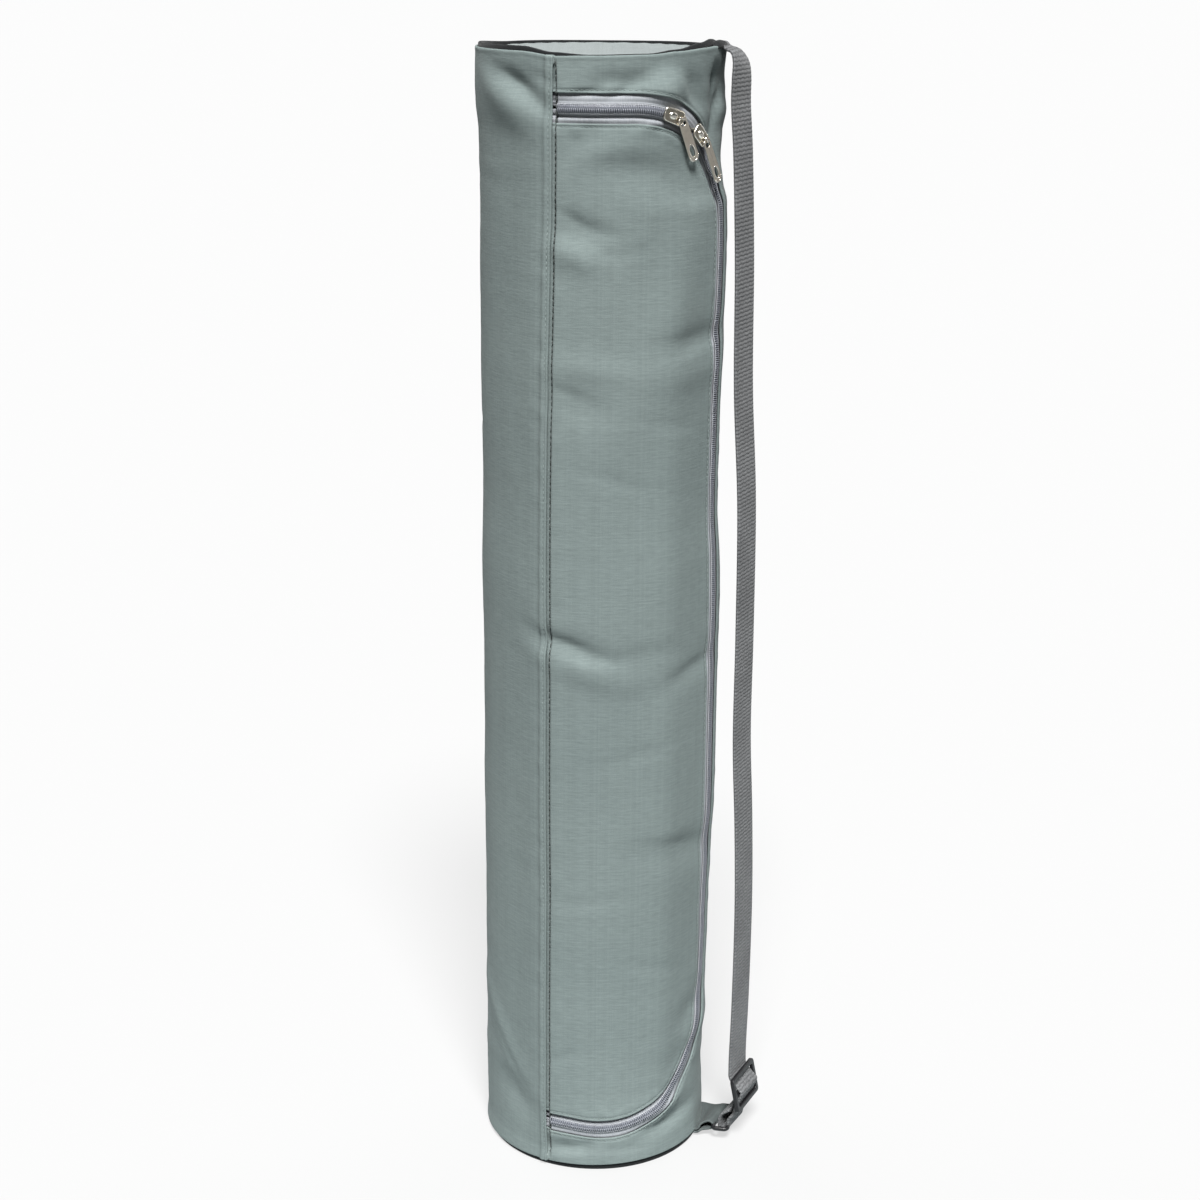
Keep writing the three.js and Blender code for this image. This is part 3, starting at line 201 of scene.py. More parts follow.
# The hinge seam leans to the right towards the top, and the cloth beside it goes along
def leanOf(arc, height):
    away = arc - hinge["arc"]
    away = away - np.round(away / girth) * girth
    share = smooth((height - seamLean["from"]) / (seamLean["to"] - seamLean["from"]))
    return (seamLean["base"] + seamLean["top"] * share) * hill(away, 0, seamLean["reach"])


# The groove beside the lap, where everything dives under it
def grooveAt(arc, height):
    ends = smooth((bag["height"] - height) / hinge["grooveTop"]) * smooth(height / hinge["grooveFoot"])
    return -hinge["groove"] * smooth((hinge["grooveFrom"] - arc) / hinge["grooveWide"]) * ends


def onWall(arc, height, lift):
    arc, height, lift = np.broadcast_arrays(*(np.asarray(x, float) for x in (arc, height, lift)))
    turn = (arc + leanOf(arc, height)) / girth
    angle = turn * 2 * math.pi
    reach = wallRadius(turn, np.clip(height / bag["height"], 0, 1)) + lift + grooveAt(arc, height)
    return np.stack([reach * np.sin(angle), -reach * np.cos(angle), height], axis=-1)


def rimAt(turn, column):
    turn = turn - np.round(turn)
    return fromTable(rimWaves, column, turn) * hem["wave"]


# How far the wall's lower edge stands off the floor, where the black base band shows: a binding, and painted
# contact shadow
def wallFoot(turn):
    share = 0.5 + 0.5 * np.cos((turn - footLift["highTurn"]) * 2 * math.pi)
    return footLift["least"] + footLift["more"] * share


def ringAngles(count):
    return np.arange(count) * 2 * math.pi / count


def lengthsAlong(points):
    return np.concatenate([[0], np.cumsum(np.hypot(*np.diff(points, axis=0).T))])


# Every pairing of the places across with the places along, row by row
def crossed(across, along):
    return np.stack(np.meshgrid(across, along), axis=-1).reshape(-1, 2)


# Meshes


def toMesh(name, points, faces, places=None):
    mesh = bpy.data.meshes.new(name)
    mesh.from_pydata((np.asarray(points, float) * mm).tolist(), [], faces)
    if places is not None:
        layer = mesh.uv_layers.new(name="clothPlace")
        corners = np.empty(len(mesh.loops), np.int32)
        mesh.loops.foreach_get("vertex_index", corners)
        layer.data.foreach_set("uv", (np.asarray(places, float)[corners] * mm).ravel())
    mesh.shade_smooth()
    return mesh


def addPiece(name, mesh, finish, stands=(), body="bag"):
    mesh.materials.clear()
    mesh.materials.append(finish)
    piece = bpy.data.objects.new(name, mesh)
    bpy.context.scene.collection.objects.link(piece)
    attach(piece, body)
    if stands:
        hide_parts(*stands)
    return piece


def keepModifiers(piece):
    graph = bpy.context.evaluated_depsgraph_get()
    made = bpy.data.meshes.new_from_object(piece.evaluated_get(graph))
    old = piece.data
    piece.modifiers.clear()
    piece.data = made
    bpy.data.meshes.remove(old)


# Gives a cloth its thickness, on the inner side
def thicken(piece, thickness):
    solid = piece.modifiers.new("thickness", "SOLIDIFY")
    solid.thickness = thickness * mm
    solid.offset = -1
    keepModifiers(piece)


def faceOut(mesh):
    work = bmesh.new()
    work.from_mesh(mesh)
    bmesh.ops.recalc_face_normals(work, faces=work.faces)
    work.to_mesh(mesh)
    work.free()
    return mesh


# The faces of a tube, closed at both ends or joined into a loop
def tubeFaces(stations, around, copies=1, loop=False):
    i = np.arange(stations if loop else stations - 1)[:, None]
    j = np.arange(around)[None, :]
    nextRing, nextPoint = (i + 1) % stations, (j + 1) % around
    quads = np.stack([
        i * around + j, i * around + nextPoint, nextRing * around + nextPoint, nextRing * around + j
    ], axis=-1).reshape(-1, 4)
    size = stations * around
    faces = (quads[None] + (np.arange(copies) * size)[:, None, None]).reshape(-1, 4).tolist()
    starts = [] if loop else range(0, copies * size, size)
    for first in starts:
        faces.append(list(range(first + around - 1, first - 1, -1)))
        faces.append(list(range(first + size - around, first + size)))
    return faces


def gridFaces(rows, columns, loop=False):
    i = np.arange(rows - 1)[:, None]
    j = np.arange(columns if loop else columns - 1)[None, :]
    beside = (j + 1) % columns
    quads = [i * columns + j, i * columns + beside, (i + 1) * columns + beside, (i + 1) * columns + j]
    return np.stack(quads, axis=-1).reshape(-1, 4).tolist()


# One mesh from several (points, faces) parts
def joinParts(parts):
    points, faces, first = [], [], 0
    for partPoints, partFaces in parts:
        partPoints = np.asarray(partPoints, float).reshape(-1, 3)
        points.append(partPoints)
        faces += [[corner + first for corner in face] for face in partFaces]
        first += len(partPoints)
    return np.concatenate(points), faces


# A flat plate from outlines in mm, the first one outside and the others holes, with eased edges
def platePart(outlines, thickness, ease, place=(0, 0, 0), turned=None):
    curve = bpy.data.curves.new("plateOutline", "CURVE")
    curve.dimensions = "2D"
    curve.fill_mode = "BOTH"
    curve.extrude = thickness / 2 - ease
    curve.bevel_depth = ease
    curve.bevel_resolution = 2
    curve.offset = -ease
    for outline in outlines:
        spline = curve.splines.new("POLY")
        spline.points.add(len(outline) - 1)
        for point, (x, y) in zip(spline.points, outline):
            point.co = (x, y, 0, 1)
        spline.use_cyclic_u = True
    holder = bpy.data.objects.new("plateOutline", curve)
    bpy.context.scene.collection.objects.link(holder)
    graph = bpy.context.evaluated_depsgraph_get()
    mesh = bpy.data.meshes.new_from_object(holder.evaluated_get(graph))
    if turned is not None:
        mesh.transform(turned.to_4x4())
    mesh.transform(Matrix.Translation(place))
    points = [tuple(v.co) for v in mesh.vertices]
    faces = [list(p.vertices) for p in mesh.polygons]
    bpy.data.objects.remove(holder)
    bpy.data.curves.remove(curve)
    bpy.data.meshes.remove(mesh)
    return points, faces


def roundedRectangle(width, height, corner, centre=(0, 0), parts=5, backwards=False):
    points = []
    for quarter, (sx, sy) in enumerate([(1, 1), (-1, 1), (-1, -1), (1, -1)]):
        for k in range(parts + 1):
            angle = (quarter + k / parts) * math.pi / 2
            x = sx * (width / 2 - corner) + corner * math.cos(angle)
            y = sy * (height / 2 - corner) + corner * math.sin(angle)
            points.append((centre[0] + x, centre[1] + y))
    return points[::-1] if backwards else points


# A round tube through points, its section turned with the line
def linePart(points, thickness, around=6, closed=False):
    points = np.asarray(points, float)
    before, after = np.roll(points, 1, axis=0), np.roll(points, -1, axis=0)
    if not closed:
        before[0], after[-1] = points[0], points[-1]
    along = after - before
    along /= np.linalg.norm(along, axis=1, keepdims=True)
    side = np.cross(along, [0.0, 0.0, 1.0])
    nearUpright = 0.2
    weak = np.linalg.norm(side, axis=1) < nearUpright
    side[weak] = np.cross(along[weak], [0.0, 1.0, 0.0])
    side /= np.linalg.norm(side, axis=1, keepdims=True)
    out = np.cross(side, along)
    angles = ringAngles(around)
    ring = side[:, None] * np.cos(angles)[None, :, None] + out[:, None] * np.sin(angles)[None, :, None]
    tube = points[:, None] + ring * thickness / 2
    return tube.reshape(-1, 3), tubeFaces(len(points), around, loop=closed)


print("bag: shape ready")


# Materials


def addNode(tree, kind, inputs=None, **settings):
    made = tree.nodes.new(kind)
    for name, value in settings.items():
        setattr(made, name, value)
    for key, value in (inputs or {}).items():
        if isinstance(value, bpy.types.NodeSocket):
            tree.links.new(value, made.inputs[key])
        else:
            made.inputs[key].default_value = value
    return made


def maths(tree, operation, a, b=0.0, c=0.0):
    return addNode(tree, "ShaderNodeMath", {0: a, 1: b, 2: c}, operation=operation).outputs[0]


def blendOf(tree, share, a, b):
    made = addNode(tree, "ShaderNodeMix", {0: share, 2: a, 3: b}, data_type="FLOAT")
    return made.outputs[0]


def tint(tree, share, a, b, blend="MIX"):
    made = addNode(tree, "ShaderNodeMix", {0: share, 6: a, 7: b}, data_type="RGBA", blend_type=blend)
    return made.outputs[2]


def ramped(tree, value, low, high, toLow=0.0, toHigh=1.0):
    inputs = {"Value": value, "From Min": low, "From Max": high, "To Min": toLow, "To Max": toHigh}
    return addNode(tree, "ShaderNodeMapRange", inputs).outputs[0]


def newGroup(name, takes, gives):
    tree = bpy.data.node_groups.new(name, "ShaderNodeTree")
    for label, kind, value in takes:
        socket = tree.interface.new_socket(name=label, in_out="INPUT", socket_type=kind)
        if value is not None:
            socket.default_value = value
    for label, kind in gives:
        tree.interface.new_socket(name=label, in_out="OUTPUT", socket_type=kind)
    return tree, tree.nodes.new("NodeGroupInput").outputs, tree.nodes.new("NodeGroupOutput").inputs


def useGroup(tree, group, inputs):
    return addNode(tree, "ShaderNodeGroup", inputs, node_tree=group).outputs


def pieceSpace(tree):
    return addNode(tree, "ShaderNodeTexCoord").outputs["Object"]


# Over and under threads. Height runs from 0 in the holes to 1 on a thread's crown, and
# Thread is a shade for each thread of the warp and weft
def makePlainWeave():
    takes = [("Place", "NodeSocketVector", None), ("Pitch", "NodeSocketFloat", 0.0006)]
    gives = [("Height", "NodeSocketFloat"), ("Thread", "NodeSocketFloat")]
    tree, took, give = newGroup("plainWeave", takes, gives)
    turns = maths(tree, "DIVIDE", 1.0, took["Pitch"])
    scaled = addNode(tree, "ShaderNodeVectorMath", {0: took["Place"], "Scale": turns}, operation="SCALE")
    parts = addNode(tree, "ShaderNodeSeparateXYZ", {0: scaled.outputs[0]}).outputs
    waves, cells = [], []
    for part in (parts[0], parts[1]):
        cells.append(maths(tree, "FLOOR", part))
        share = maths(tree, "FRACT", part)
        waves.append(maths(tree, "SINE", maths(tree, "MULTIPLY", share, math.pi)))
    over = maths(tree, "PINGPONG", maths(tree, "ADD", cells[0], cells[1]), 1.0)
    warp = maths(tree, "MULTIPLY", waves[0], maths(tree, "MULTIPLY_ADD", waves[1], 0.55, 0.45))
    weft = maths(tree, "MULTIPLY", waves[1], maths(tree, "MULTIPLY_ADD", waves[0], 0.55, 0.45))
    tree.links.new(blendOf(tree, over, weft, warp), give["Height"])
    shades = [
        addNode(tree, "ShaderNodeTexWhiteNoise", {"W": maths(tree, "ADD", cell, shift)},
                noise_dimensions="1D").outputs["Value"]
        for cell, shift in zip(cells, (3.3, 71.7))
    ]
    tree.links.new(blendOf(tree, over, shades[1], shades[0]), give["Thread"])
    return tree


# Long thin streaks along both thread ways, where a yarn runs thick or thin
def makeSlubs():
    takes = [("Place", "NodeSocketVector", None), ("Fineness", "NodeSocketFloat", 900.0)]
    tree, took, give = newGroup("yarnSlubs", takes, [("Streaks", "NodeSocketFloat")])
    streaks = []
    for stretch in ((0.15, 1.0, 1.0), (1.0, 0.06, 1.0)):
        inputs = {0: took["Place"], 1: stretch}
        place = addNode(tree, "ShaderNodeVectorMath", inputs, operation="MULTIPLY")
        inputs = {"Vector": place.outputs[0], "Scale": took["Fineness"], "Detail": 3.0}
        streaks.append(addNode(tree, "ShaderNodeTexNoise", inputs).outputs[0])
    both = maths(tree, "MULTIPLY_ADD", streaks[0], 0.88, maths(tree, "MULTIPLY", streaks[1], 0.12))
    tree.links.new(ramped(tree, both, 0.32, 0.68), give["Streaks"])
    return tree


# Broad soft patches of tone over a piece
def makePatches():
    takes = [("Size", "NodeSocketFloat", 14.0), ("Detail", "NodeSocketFloat", 4.0)]
    tree, took, give = newGroup("tonePatches", takes, [("Tone", "NodeSocketFloat")])
    place = pieceSpace(tree)
    inputs = {"Vector": place, "Scale": took["Size"], "Detail": took["Detail"]}
    value = addNode(tree, "ShaderNodeTexNoise", inputs).outputs[0]
    tree.links.new(ramped(tree, value, 0.25, 0.75), give["Tone"])
    return tree


# Masks of the edges and the hollows from how a surface bends, broken up by fine noise: worn edges, painted
# highlights on edges and painted shade in hollows
def makeWearAndPaintedLight():
    takes = [("Bend", "NodeSocketFloat", 0.5), ("Fineness", "NodeSocketFloat", 900.0)]
    gives = [("Edges", "NodeSocketFloat"), ("Hollows", "NodeSocketFloat")]
    tree, took, give = newGroup("edgeWearAndPaintedLight", takes, gives)
    place = pieceSpace(tree)
    inputs = {"Vector": place, "Scale": took["Fineness"], "Detail": 5.0}
    broken = addNode(tree, "ShaderNodeTexNoise", inputs).outputs[0]
    uneven = maths(tree, "MULTIPLY_ADD", broken, 0.08, -0.04)
    bend = maths(tree, "ADD", took["Bend"], uneven)
    tree.links.new(ramped(tree, bend, 0.53, 0.62), give["Edges"])
    tree.links.new(ramped(tree, bend, 0.48, 0.4), give["Hollows"])
    return tree


# Fine grain of moulded or cast surfaces, with scratches running one way
def makeGrain():
    takes = [("Fineness", "NodeSocketFloat", 2500.0), ("Scratch", "NodeSocketFloat", 400.0)]
    gives = [("Grain", "NodeSocketFloat"), ("Scratches", "NodeSocketFloat")]
    tree, took, give = newGroup("surfaceGrain", takes, gives)
    place = pieceSpace(tree)
    fine = {"Vector": place, "Scale": took["Fineness"], "Detail": 4.0}
    tree.links.new(addNode(tree, "ShaderNodeTexNoise", fine).outputs[0], give["Grain"])
    spread = addNode(tree, "ShaderNodeVectorMath", {0: place, 1: (1.0, 1.0, 0.12)}, operation="MULTIPLY")
    lines = {"Vector": spread.outputs[0], "Scale": took["Scratch"], "Detail": 6.0, "Roughness": 0.75}
    value = addNode(tree, "ShaderNodeTexNoise", lines).outputs[0]
    tree.links.new(ramped(tree, value, 0.42, 0.62), give["Scratches"])
    return tree


plainWeave, yarnSlubs, tonePatches = makePlainWeave(), makeSlubs(), makePatches()
edgeWearAndPaintedLight, surfaceGrain = makeWearAndPaintedLight(), makeGrain()


def newFinish(name, settings):
    finish = bpy.data.materials.new(name)
    finish.use_nodes = True
    tree = finish.node_tree
    shader = next(n for n in tree.nodes if n.type == "BSDF_PRINCIPLED")
    for key, value in settings.items():
        shader.inputs[key].default_value = value
    return finish, tree, shader.inputs


def clothPlace(tree):
    return addNode(tree, "ShaderNodeUVMap", uv_map="clothPlace").outputs[0]


def bump(tree, height, distance, strength=1.0, under=None):
    inputs = {"Height": height, "Distance": distance, "Strength": strength}
    if under is not None:
        inputs["Normal"] = under
    return addNode(tree, "ShaderNodeBump", inputs).outputs[0]


# A colour made darker or lighter as the share runs from 0 to 1
def shaded(tree, colour, share, low, high):
    grey = tint(tree, share, (low, low, low, 1), (high, high, high, 1))
    return tint(tree, 1.0, colour, grey, "MULTIPLY")


def wearAndPaintedLightOn(tree, fineness):
    bend = addNode(tree, "ShaderNodeNewGeometry").outputs["Pointiness"]
    return useGroup(tree, edgeWearAndPaintedLight, {"Bend": bend, "Fineness": fineness})


def makeWovenFinish(name, look):
    shader = {"Sheen Weight": look["sheen"], "Sheen Roughness": 0.45, "Specular IOR Level": look["gloss"]}
    finish, tree, take = newFinish(name, shader)
    place = clothPlace(tree)
    weave = useGroup(tree, plainWeave, {"Place": place, "Pitch": look["pitch"] * mm})
    slubs = useGroup(tree, yarnSlubs, {"Place": place, "Fineness": look["slubs"]})
    patches = useGroup(tree, tonePatches, {"Size": look["patches"]})
    wearAndLight = wearAndPaintedLightOn(tree, 700.0)
    colour = tint(tree, patches["Tone"], look["shade"], look["tone"])
    colour = shaded(tree, colour, slubs["Streaks"], 1 - look["contrast"], 1 + look["contrast"])
    colour = shaded(tree, colour, weave["Thread"], 1 - look["threads"], 1 + look["threads"])
    colour = shaded(tree, colour, weave["Height"], 1 - look["holes"], 1.0)
    # Lighter where the cloth bends outward: worn hem edges, and painted highlight on the fold crests
    wornAndHighlit = maths(tree, "MULTIPLY", wearAndLight["Edges"], look["wearAndLight"])
    colour = tint(tree, wornAndHighlit, colour, look["wornAndHighlit"])
    tree.links.new(colour, take["Base Color"])
    rough = ramped(tree, weave["Height"], 0.0, 1.0, look["rough"] + 0.08, look["rough"] - 0.06)
    tree.links.new(rough, take["Roughness"])
    broad = bump(tree, slubs["Streaks"], look["slubDepth"] * mm)
    tree.links.new(bump(tree, weave["Height"], look["weaveDepth"] * mm, 1.0, broad), take["Normal"])
    return finish


greyGreen = {
    "tone": (0.16, 0.194, 0.19, 1), "shade": (0.136, 0.167, 0.165, 1), "wornAndHighlit": (0.29, 0.33, 0.32, 1),
    "pitch": 0.62, "weaveDepth": 0.045, "slubs": 960.0, "slubDepth": 0.045, "patches": 9.0, "sheen": 0.03,
    "gloss": 0.08, "contrast": 0.085, "threads": 0.06, "holes": 0.25, "wearAndLight": 0.3, "rough": 0.8,
}
blackTape = {
    "tone": (0.011, 0.012, 0.013, 1), "shade": (0.006, 0.007, 0.008, 1), "wornAndHighlit": (0.035, 0.038, 0.038, 1),
    "pitch": 0.5, "weaveDepth": 0.04, "slubs": 900.0, "slubDepth": 0.04, "patches": 30.0, "sheen": 0.06,
    "gloss": 0.2, "contrast": 0.12, "threads": 0.1, "holes": 0.4, "wearAndLight": 0.3, "rough": 0.85,
}
cloth = makeWovenFinish("greyGreenCloth", greyGreen)
baseTone = {"tone": (0.13, 0.162, 0.158, 1), "shade": (0.11, 0.135, 0.132, 1), "wearAndLight": 0.4}
clothBelow = makeWovenFinish("baseCloth", {**greyGreen, **baseTone})
# A paler, greyer copy of the wall's cloth for the top panel: partly its own colour, partly painted light
# from above
coverToneWithTopLight = {"tone": (0.212, 0.236, 0.236, 1), "shade": (0.18, 0.2, 0.202, 1)}
coverClothWithTopLight = makeWovenFinish("coverClothWithTopLight", {**greyGreen, **coverToneWithTopLight})
# A darker copy of the wall's cloth for the strap's tab: painted shade
tabShadeTone = {"tone": (0.07, 0.082, 0.082, 1), "shade": (0.048, 0.057, 0.057, 1)}
tabShadedCloth = makeWovenFinish("tabShadedCloth", {**greyGreen, **tabShadeTone})
binding = makeWovenFinish("blackBinding", blackTape)


def makeTapeFinish():
    look = {"tone": (0.29, 0.306, 0.326, 1), "shade": (0.222, 0.236, 0.254, 1), "rib": 0.55}
    finish, tree, take = newFinish("zipTape", {"Sheen Weight": 0.05, "Specular IOR Level": 0.15})
    place = clothPlace(tree)
    parts = addNode(tree, "ShaderNodeSeparateXYZ", {0: place}).outputs
    slant = maths(tree, "MULTIPLY_ADD", parts[1], 0.7, parts[0])
    wave = maths(tree, "SINE", maths(tree, "MULTIPLY", slant, 2 * math.pi / (look["rib"] * mm)))
    twill = maths(tree, "MULTIPLY_ADD", wave, 0.5, 0.5)
    slubs = useGroup(tree, yarnSlubs, {"Place": place, "Fineness": 1500.0})
    colour = tint(tree, slubs["Streaks"], look["shade"], look["tone"])
    tree.links.new(shaded(tree, colour, twill, 0.78, 1.04), take["Base Color"])
    tree.links.new(ramped(tree, twill, 0.0, 1.0, 0.8, 0.66), take["Roughness"])
    tree.links.new(bump(tree, twill, 0.03 * mm), take["Normal"])
    return finish


def makeCoilFinish():
    look = {
        "tone": (0.115, 0.125, 0.153, 1), "shade": (0.06, 0.066, 0.083, 1), "edgeTone": (0.25, 0.26, 0.28, 1),
    }
    finish, tree, take = newFinish("nylonCoil", {"Coat Weight": 0.15, "Coat Roughness": 0.3})
    patches = useGroup(tree, tonePatches, {"Size": 260.0})
    grain = useGroup(tree, surfaceGrain, {"Fineness": 4200.0, "Scratch": 900.0})
    wearAndLight = wearAndPaintedLightOn(tree, 1800.0)
    colour = tint(tree, patches["Tone"], look["shade"], look["tone"])
    # Darker in the hollows as painted shade, and lighter on the edges
    colour = tint(tree, maths(tree, "MULTIPLY", wearAndLight["Hollows"], 0.35), colour, look["shade"])
    colour = tint(tree, maths(tree, "MULTIPLY", wearAndLight["Edges"], 0.35), colour, look["edgeTone"])
    tree.links.new(colour, take["Base Color"])
    tree.links.new(ramped(tree, grain["Grain"], 0.3, 0.7, 0.36, 0.5), take["Roughness"])
    tree.links.new(bump(tree, grain["Grain"], 0.02 * mm), take["Normal"])
    return finish


def makeThreadFinish(name, tone, shade):
    finish, tree, take = newFinish(name, {"Sheen Weight": 0.2, "Specular IOR Level": 0.4})
    place = pieceSpace(tree)
    inputs = {"Vector": place, "Scale": 900.0, "Distortion": 3.0, "Detail": 1.0}
    twist = addNode(tree, "ShaderNodeTexWave", inputs, bands_direction="DIAGONAL").outputs["Fac"]
    tree.links.new(tint(tree, twist, shade, tone), take["Base Color"])
    tree.links.new(ramped(tree, twist, 0.0, 1.0, 0.75, 0.55), take["Roughness"])
    tree.links.new(bump(tree, twist, 0.05 * mm), take["Normal"])
    return finish


def makeNickelFinish(name, look):
    finish, tree, take = newFinish(name, {})
    patches = useGroup(tree, tonePatches, {"Size": 320.0})
    grain = useGroup(tree, surfaceGrain, {"Fineness": 3000.0, "Scratch": 1500.0})
    wearAndLight = wearAndPaintedLightOn(tree, 1600.0)
    colour = tint(tree, maths(tree, "MULTIPLY", patches["Tone"], 0.55), look["bright"], look["dull"])
    # Painted shade in the hollows: darker and less metallic there, and rougher
    colour = tint(tree, maths(tree, "MULTIPLY", wearAndLight["Hollows"], 0.8), colour, look["hollowShade"])
    # Painted highlight on the edges, lighter there
    colour = tint(tree, maths(tree, "MULTIPLY", wearAndLight["Edges"], 0.5), colour, look["rubbedAndHighlit"])
    tree.links.new(colour, take["Base Color"])
    rough = maths(tree, "MULTIPLY_ADD", grain["Scratches"], 0.14, look["rough"])
    rough = maths(tree, "MULTIPLY_ADD", wearAndLight["Hollows"], 0.25, rough)
    tree.links.new(rough, take["Roughness"])
    tree.links.new(maths(tree, "MULTIPLY_ADD", wearAndLight["Hollows"], -0.35, 1.0), take["Metallic"])
    tree.links.new(bump(tree, grain["Scratches"], 0.012 * mm), take["Normal"])
    return finish


def makeWebbingFinish():
    look = {
        "tone": (0.14, 0.144, 0.149, 1), "shade": (0.094, 0.097, 0.101, 1),
        "yarn": 1.1, "rib": 2.4, "bend": 6.25, "zigzag": 0.7,
    }
    finish, tree, take = newFinish("greyWebbing", {"Sheen Weight": 0.05, "Specular IOR Level": 0.15})
    place = clothPlace(tree)
    parts = addNode(tree, "ShaderNodeSeparateXYZ", {0: place}).outputs
    bent = maths(tree, "PINGPONG", parts[0], look["bend"] / 2 * mm)
    shift = maths(tree, "MULTIPLY", bent, look["zigzag"] / (look["bend"] / 2))
    ribs = maths(tree, "DIVIDE", maths(tree, "ADD", parts[1], shift), look["rib"] * mm)
    hump = maths(tree, "ABSOLUTE", maths(tree, "SINE", maths(tree, "MULTIPLY", ribs, math.pi)))
    turns = maths(tree, "DIVIDE", parts[0], look["yarn"] * mm)
    yarn = maths(tree, "ABSOLUTE", maths(tree, "SINE", maths(tree, "MULTIPLY", turns, math.pi)))
    height = maths(tree, "MULTIPLY", maths(tree, "POWER", hump, 0.7), maths(tree, "POWER", yarn, 0.4))
    fine = {"Vector": place, "Scale": 4200.0, "Detail": 2.0}
    fibre = addNode(tree, "ShaderNodeTexNoise", fine).outputs[0]
    fleck = {"Vector": place, "Scale": 560.0, "Detail": 4.0, "Roughness": 0.75}
    flecks = ramped(tree, addNode(tree, "ShaderNodeTexNoise", fleck).outputs[0], 0.35, 0.65)
    patches = useGroup(tree, tonePatches, {"Size": 40.0})
    colour = tint(tree, patches["Tone"], look["shade"], look["tone"])
    for share, low, high in ((height, 0.5, 1.12), (flecks, 0.6, 1.3), (fibre, 0.86, 1.14)):
        colour = shaded(tree, colour, share, low, high)
    tree.links.new(colour, take["Base Color"])
    tree.links.new(ramped(tree, height, 0.0, 1.0, 0.9, 0.68), take["Roughness"])
    broad = bump(tree, height, 0.2 * mm)
    tree.links.new(bump(tree, fibre, 0.06 * mm, 1.0, broad), take["Normal"])
    return finish


def makePlasticFinish():
    look = {"black": (0.006, 0.006, 0.007, 1), "rubbedAndHighlit": (0.03, 0.031, 0.033, 1)}
    finish, tree, take = newFinish("blackPlastic", {"Specular IOR Level": 0.32})
    grain = useGroup(tree, surfaceGrain, {"Fineness": 2600.0, "Scratch": 700.0})
    wearAndLight = wearAndPaintedLightOn(tree, 1100.0)
    colour = tint(tree, maths(tree, "MULTIPLY", wearAndLight["Edges"], 0.5), look["black"], look["rubbedAndHighlit"])
    tree.links.new(colour, take["Base Color"])
    rough = maths(tree, "MULTIPLY_ADD", grain["Grain"], 0.16, 0.26)
    tree.links.new(maths(tree, "MULTIPLY_ADD", grain["Scratches"], 0.1, rough), take["Roughness"])
    tree.links.new(bump(tree, grain["Grain"], 0.03 * mm), take["Normal"])
    return finish


zipTape, nylonCoil = makeTapeFinish(), makeCoilFinish()
# The same nickel in three tones: lighter on the slider trim and pull rims as painted highlight, darker on
# the slider bodies as painted shade, and cream on the pull plates
highlitNickel = makeNickelFinish("highlitNickel", {
    "bright": (0.9, 0.87, 0.8, 1), "dull": (0.72, 0.68, 0.6, 1), "hollowShade": (0.1, 0.09, 0.07, 1),
    "rubbedAndHighlit": (0.95, 0.93, 0.88, 1), "rough": 0.17,
})
shadedNickel = makeNickelFinish("shadedNickel", {
    "bright": (0.4, 0.37, 0.31, 1), "dull": (0.26, 0.24, 0.2, 1), "hollowShade": (0.05, 0.045, 0.035, 1),
    "rubbedAndHighlit": (0.8, 0.78, 0.7, 1), "rough": 0.3,
})
creamNickel = makeNickelFinish("creamNickel", {
    "bright": (0.72, 0.66, 0.57, 1), "dull": (0.5, 0.44, 0.37, 1), "hollowShade": (0.1, 0.09, 0.07, 1),
    "rubbedAndHighlit": (0.9, 0.87, 0.8, 1), "rough": 0.28,
})
webbing, plastic = makeWebbingFinish(), makePlasticFinish()
clothThread = makeThreadFinish("clothThread", (0.175, 0.213, 0.208, 1), (0.1, 0.125, 0.12, 1))
tapeThread = makeThreadFinish("tapeThread", (0.4, 0.415, 0.44, 1), (0.22, 0.23, 0.25, 1))
seamThread = makeThreadFinish("seamThread", (0.045, 0.055, 0.053, 1), (0.015, 0.02, 0.019, 1))
print("bag: finishes ready")


# The zip's line on the wall

topLine = bag["height"] - zipLay["topDrop"]
topSize, lowSize = zipLay["topCorner"], zipLay["bottomCorner"]
topCentre = (zipLay["sideArc"] - topSize, topLine - topSize)
lowCentre = (zipLay["sideArc"] - lowSize, zipLay["bottomRise"] + lowSize)


def lowLine(arc):
    share = (lowCentre[0] - arc) / (lowCentre[0] - hinge["arc"])
    return zipLay["bottomRise"] + zipLay["seamRise"] * smooth(share)


# How far outside the zip's line a place is, and the way out from it
def fromZip(arc, height):
    arc, height = np.asarray(arc, float), np.asarray(height, float)
    sides = np.stack([height - topLine, arc - zipLay["sideArc"], lowLine(arc) - height])
    nearest = sides.argmax(axis=0)
    distance = sides.max(axis=0)
    ways = np.array([(0.0, 1.0), (1.0, 0.0), (0.0, -1.0)])
    way = ways[nearest]
    for centre, size, upward in ((topCentre, topSize, 1), (lowCentre, lowSize, -1)):
        x, y = arc - centre[0], (height - centre[1]) * upward
        reach = np.hypot(x, y)
        inside = (x > 0) & (y > 0)
        distance = np.where(inside, reach - size, distance)
        safe = np.maximum(reach, 1e-6)
        cornerWay = np.stack([x / safe, y / safe * upward], axis=-1)
        way = np.where(inside[..., None], cornerWay, way)
    return distance, way


# Closer places across the groove, so that its bends come out round
seamStops = (-33.5, -32, -31.2, -30.6, -30.1, -29.6, -29.1, -28.5, -27.6, -26.4, -24.6)


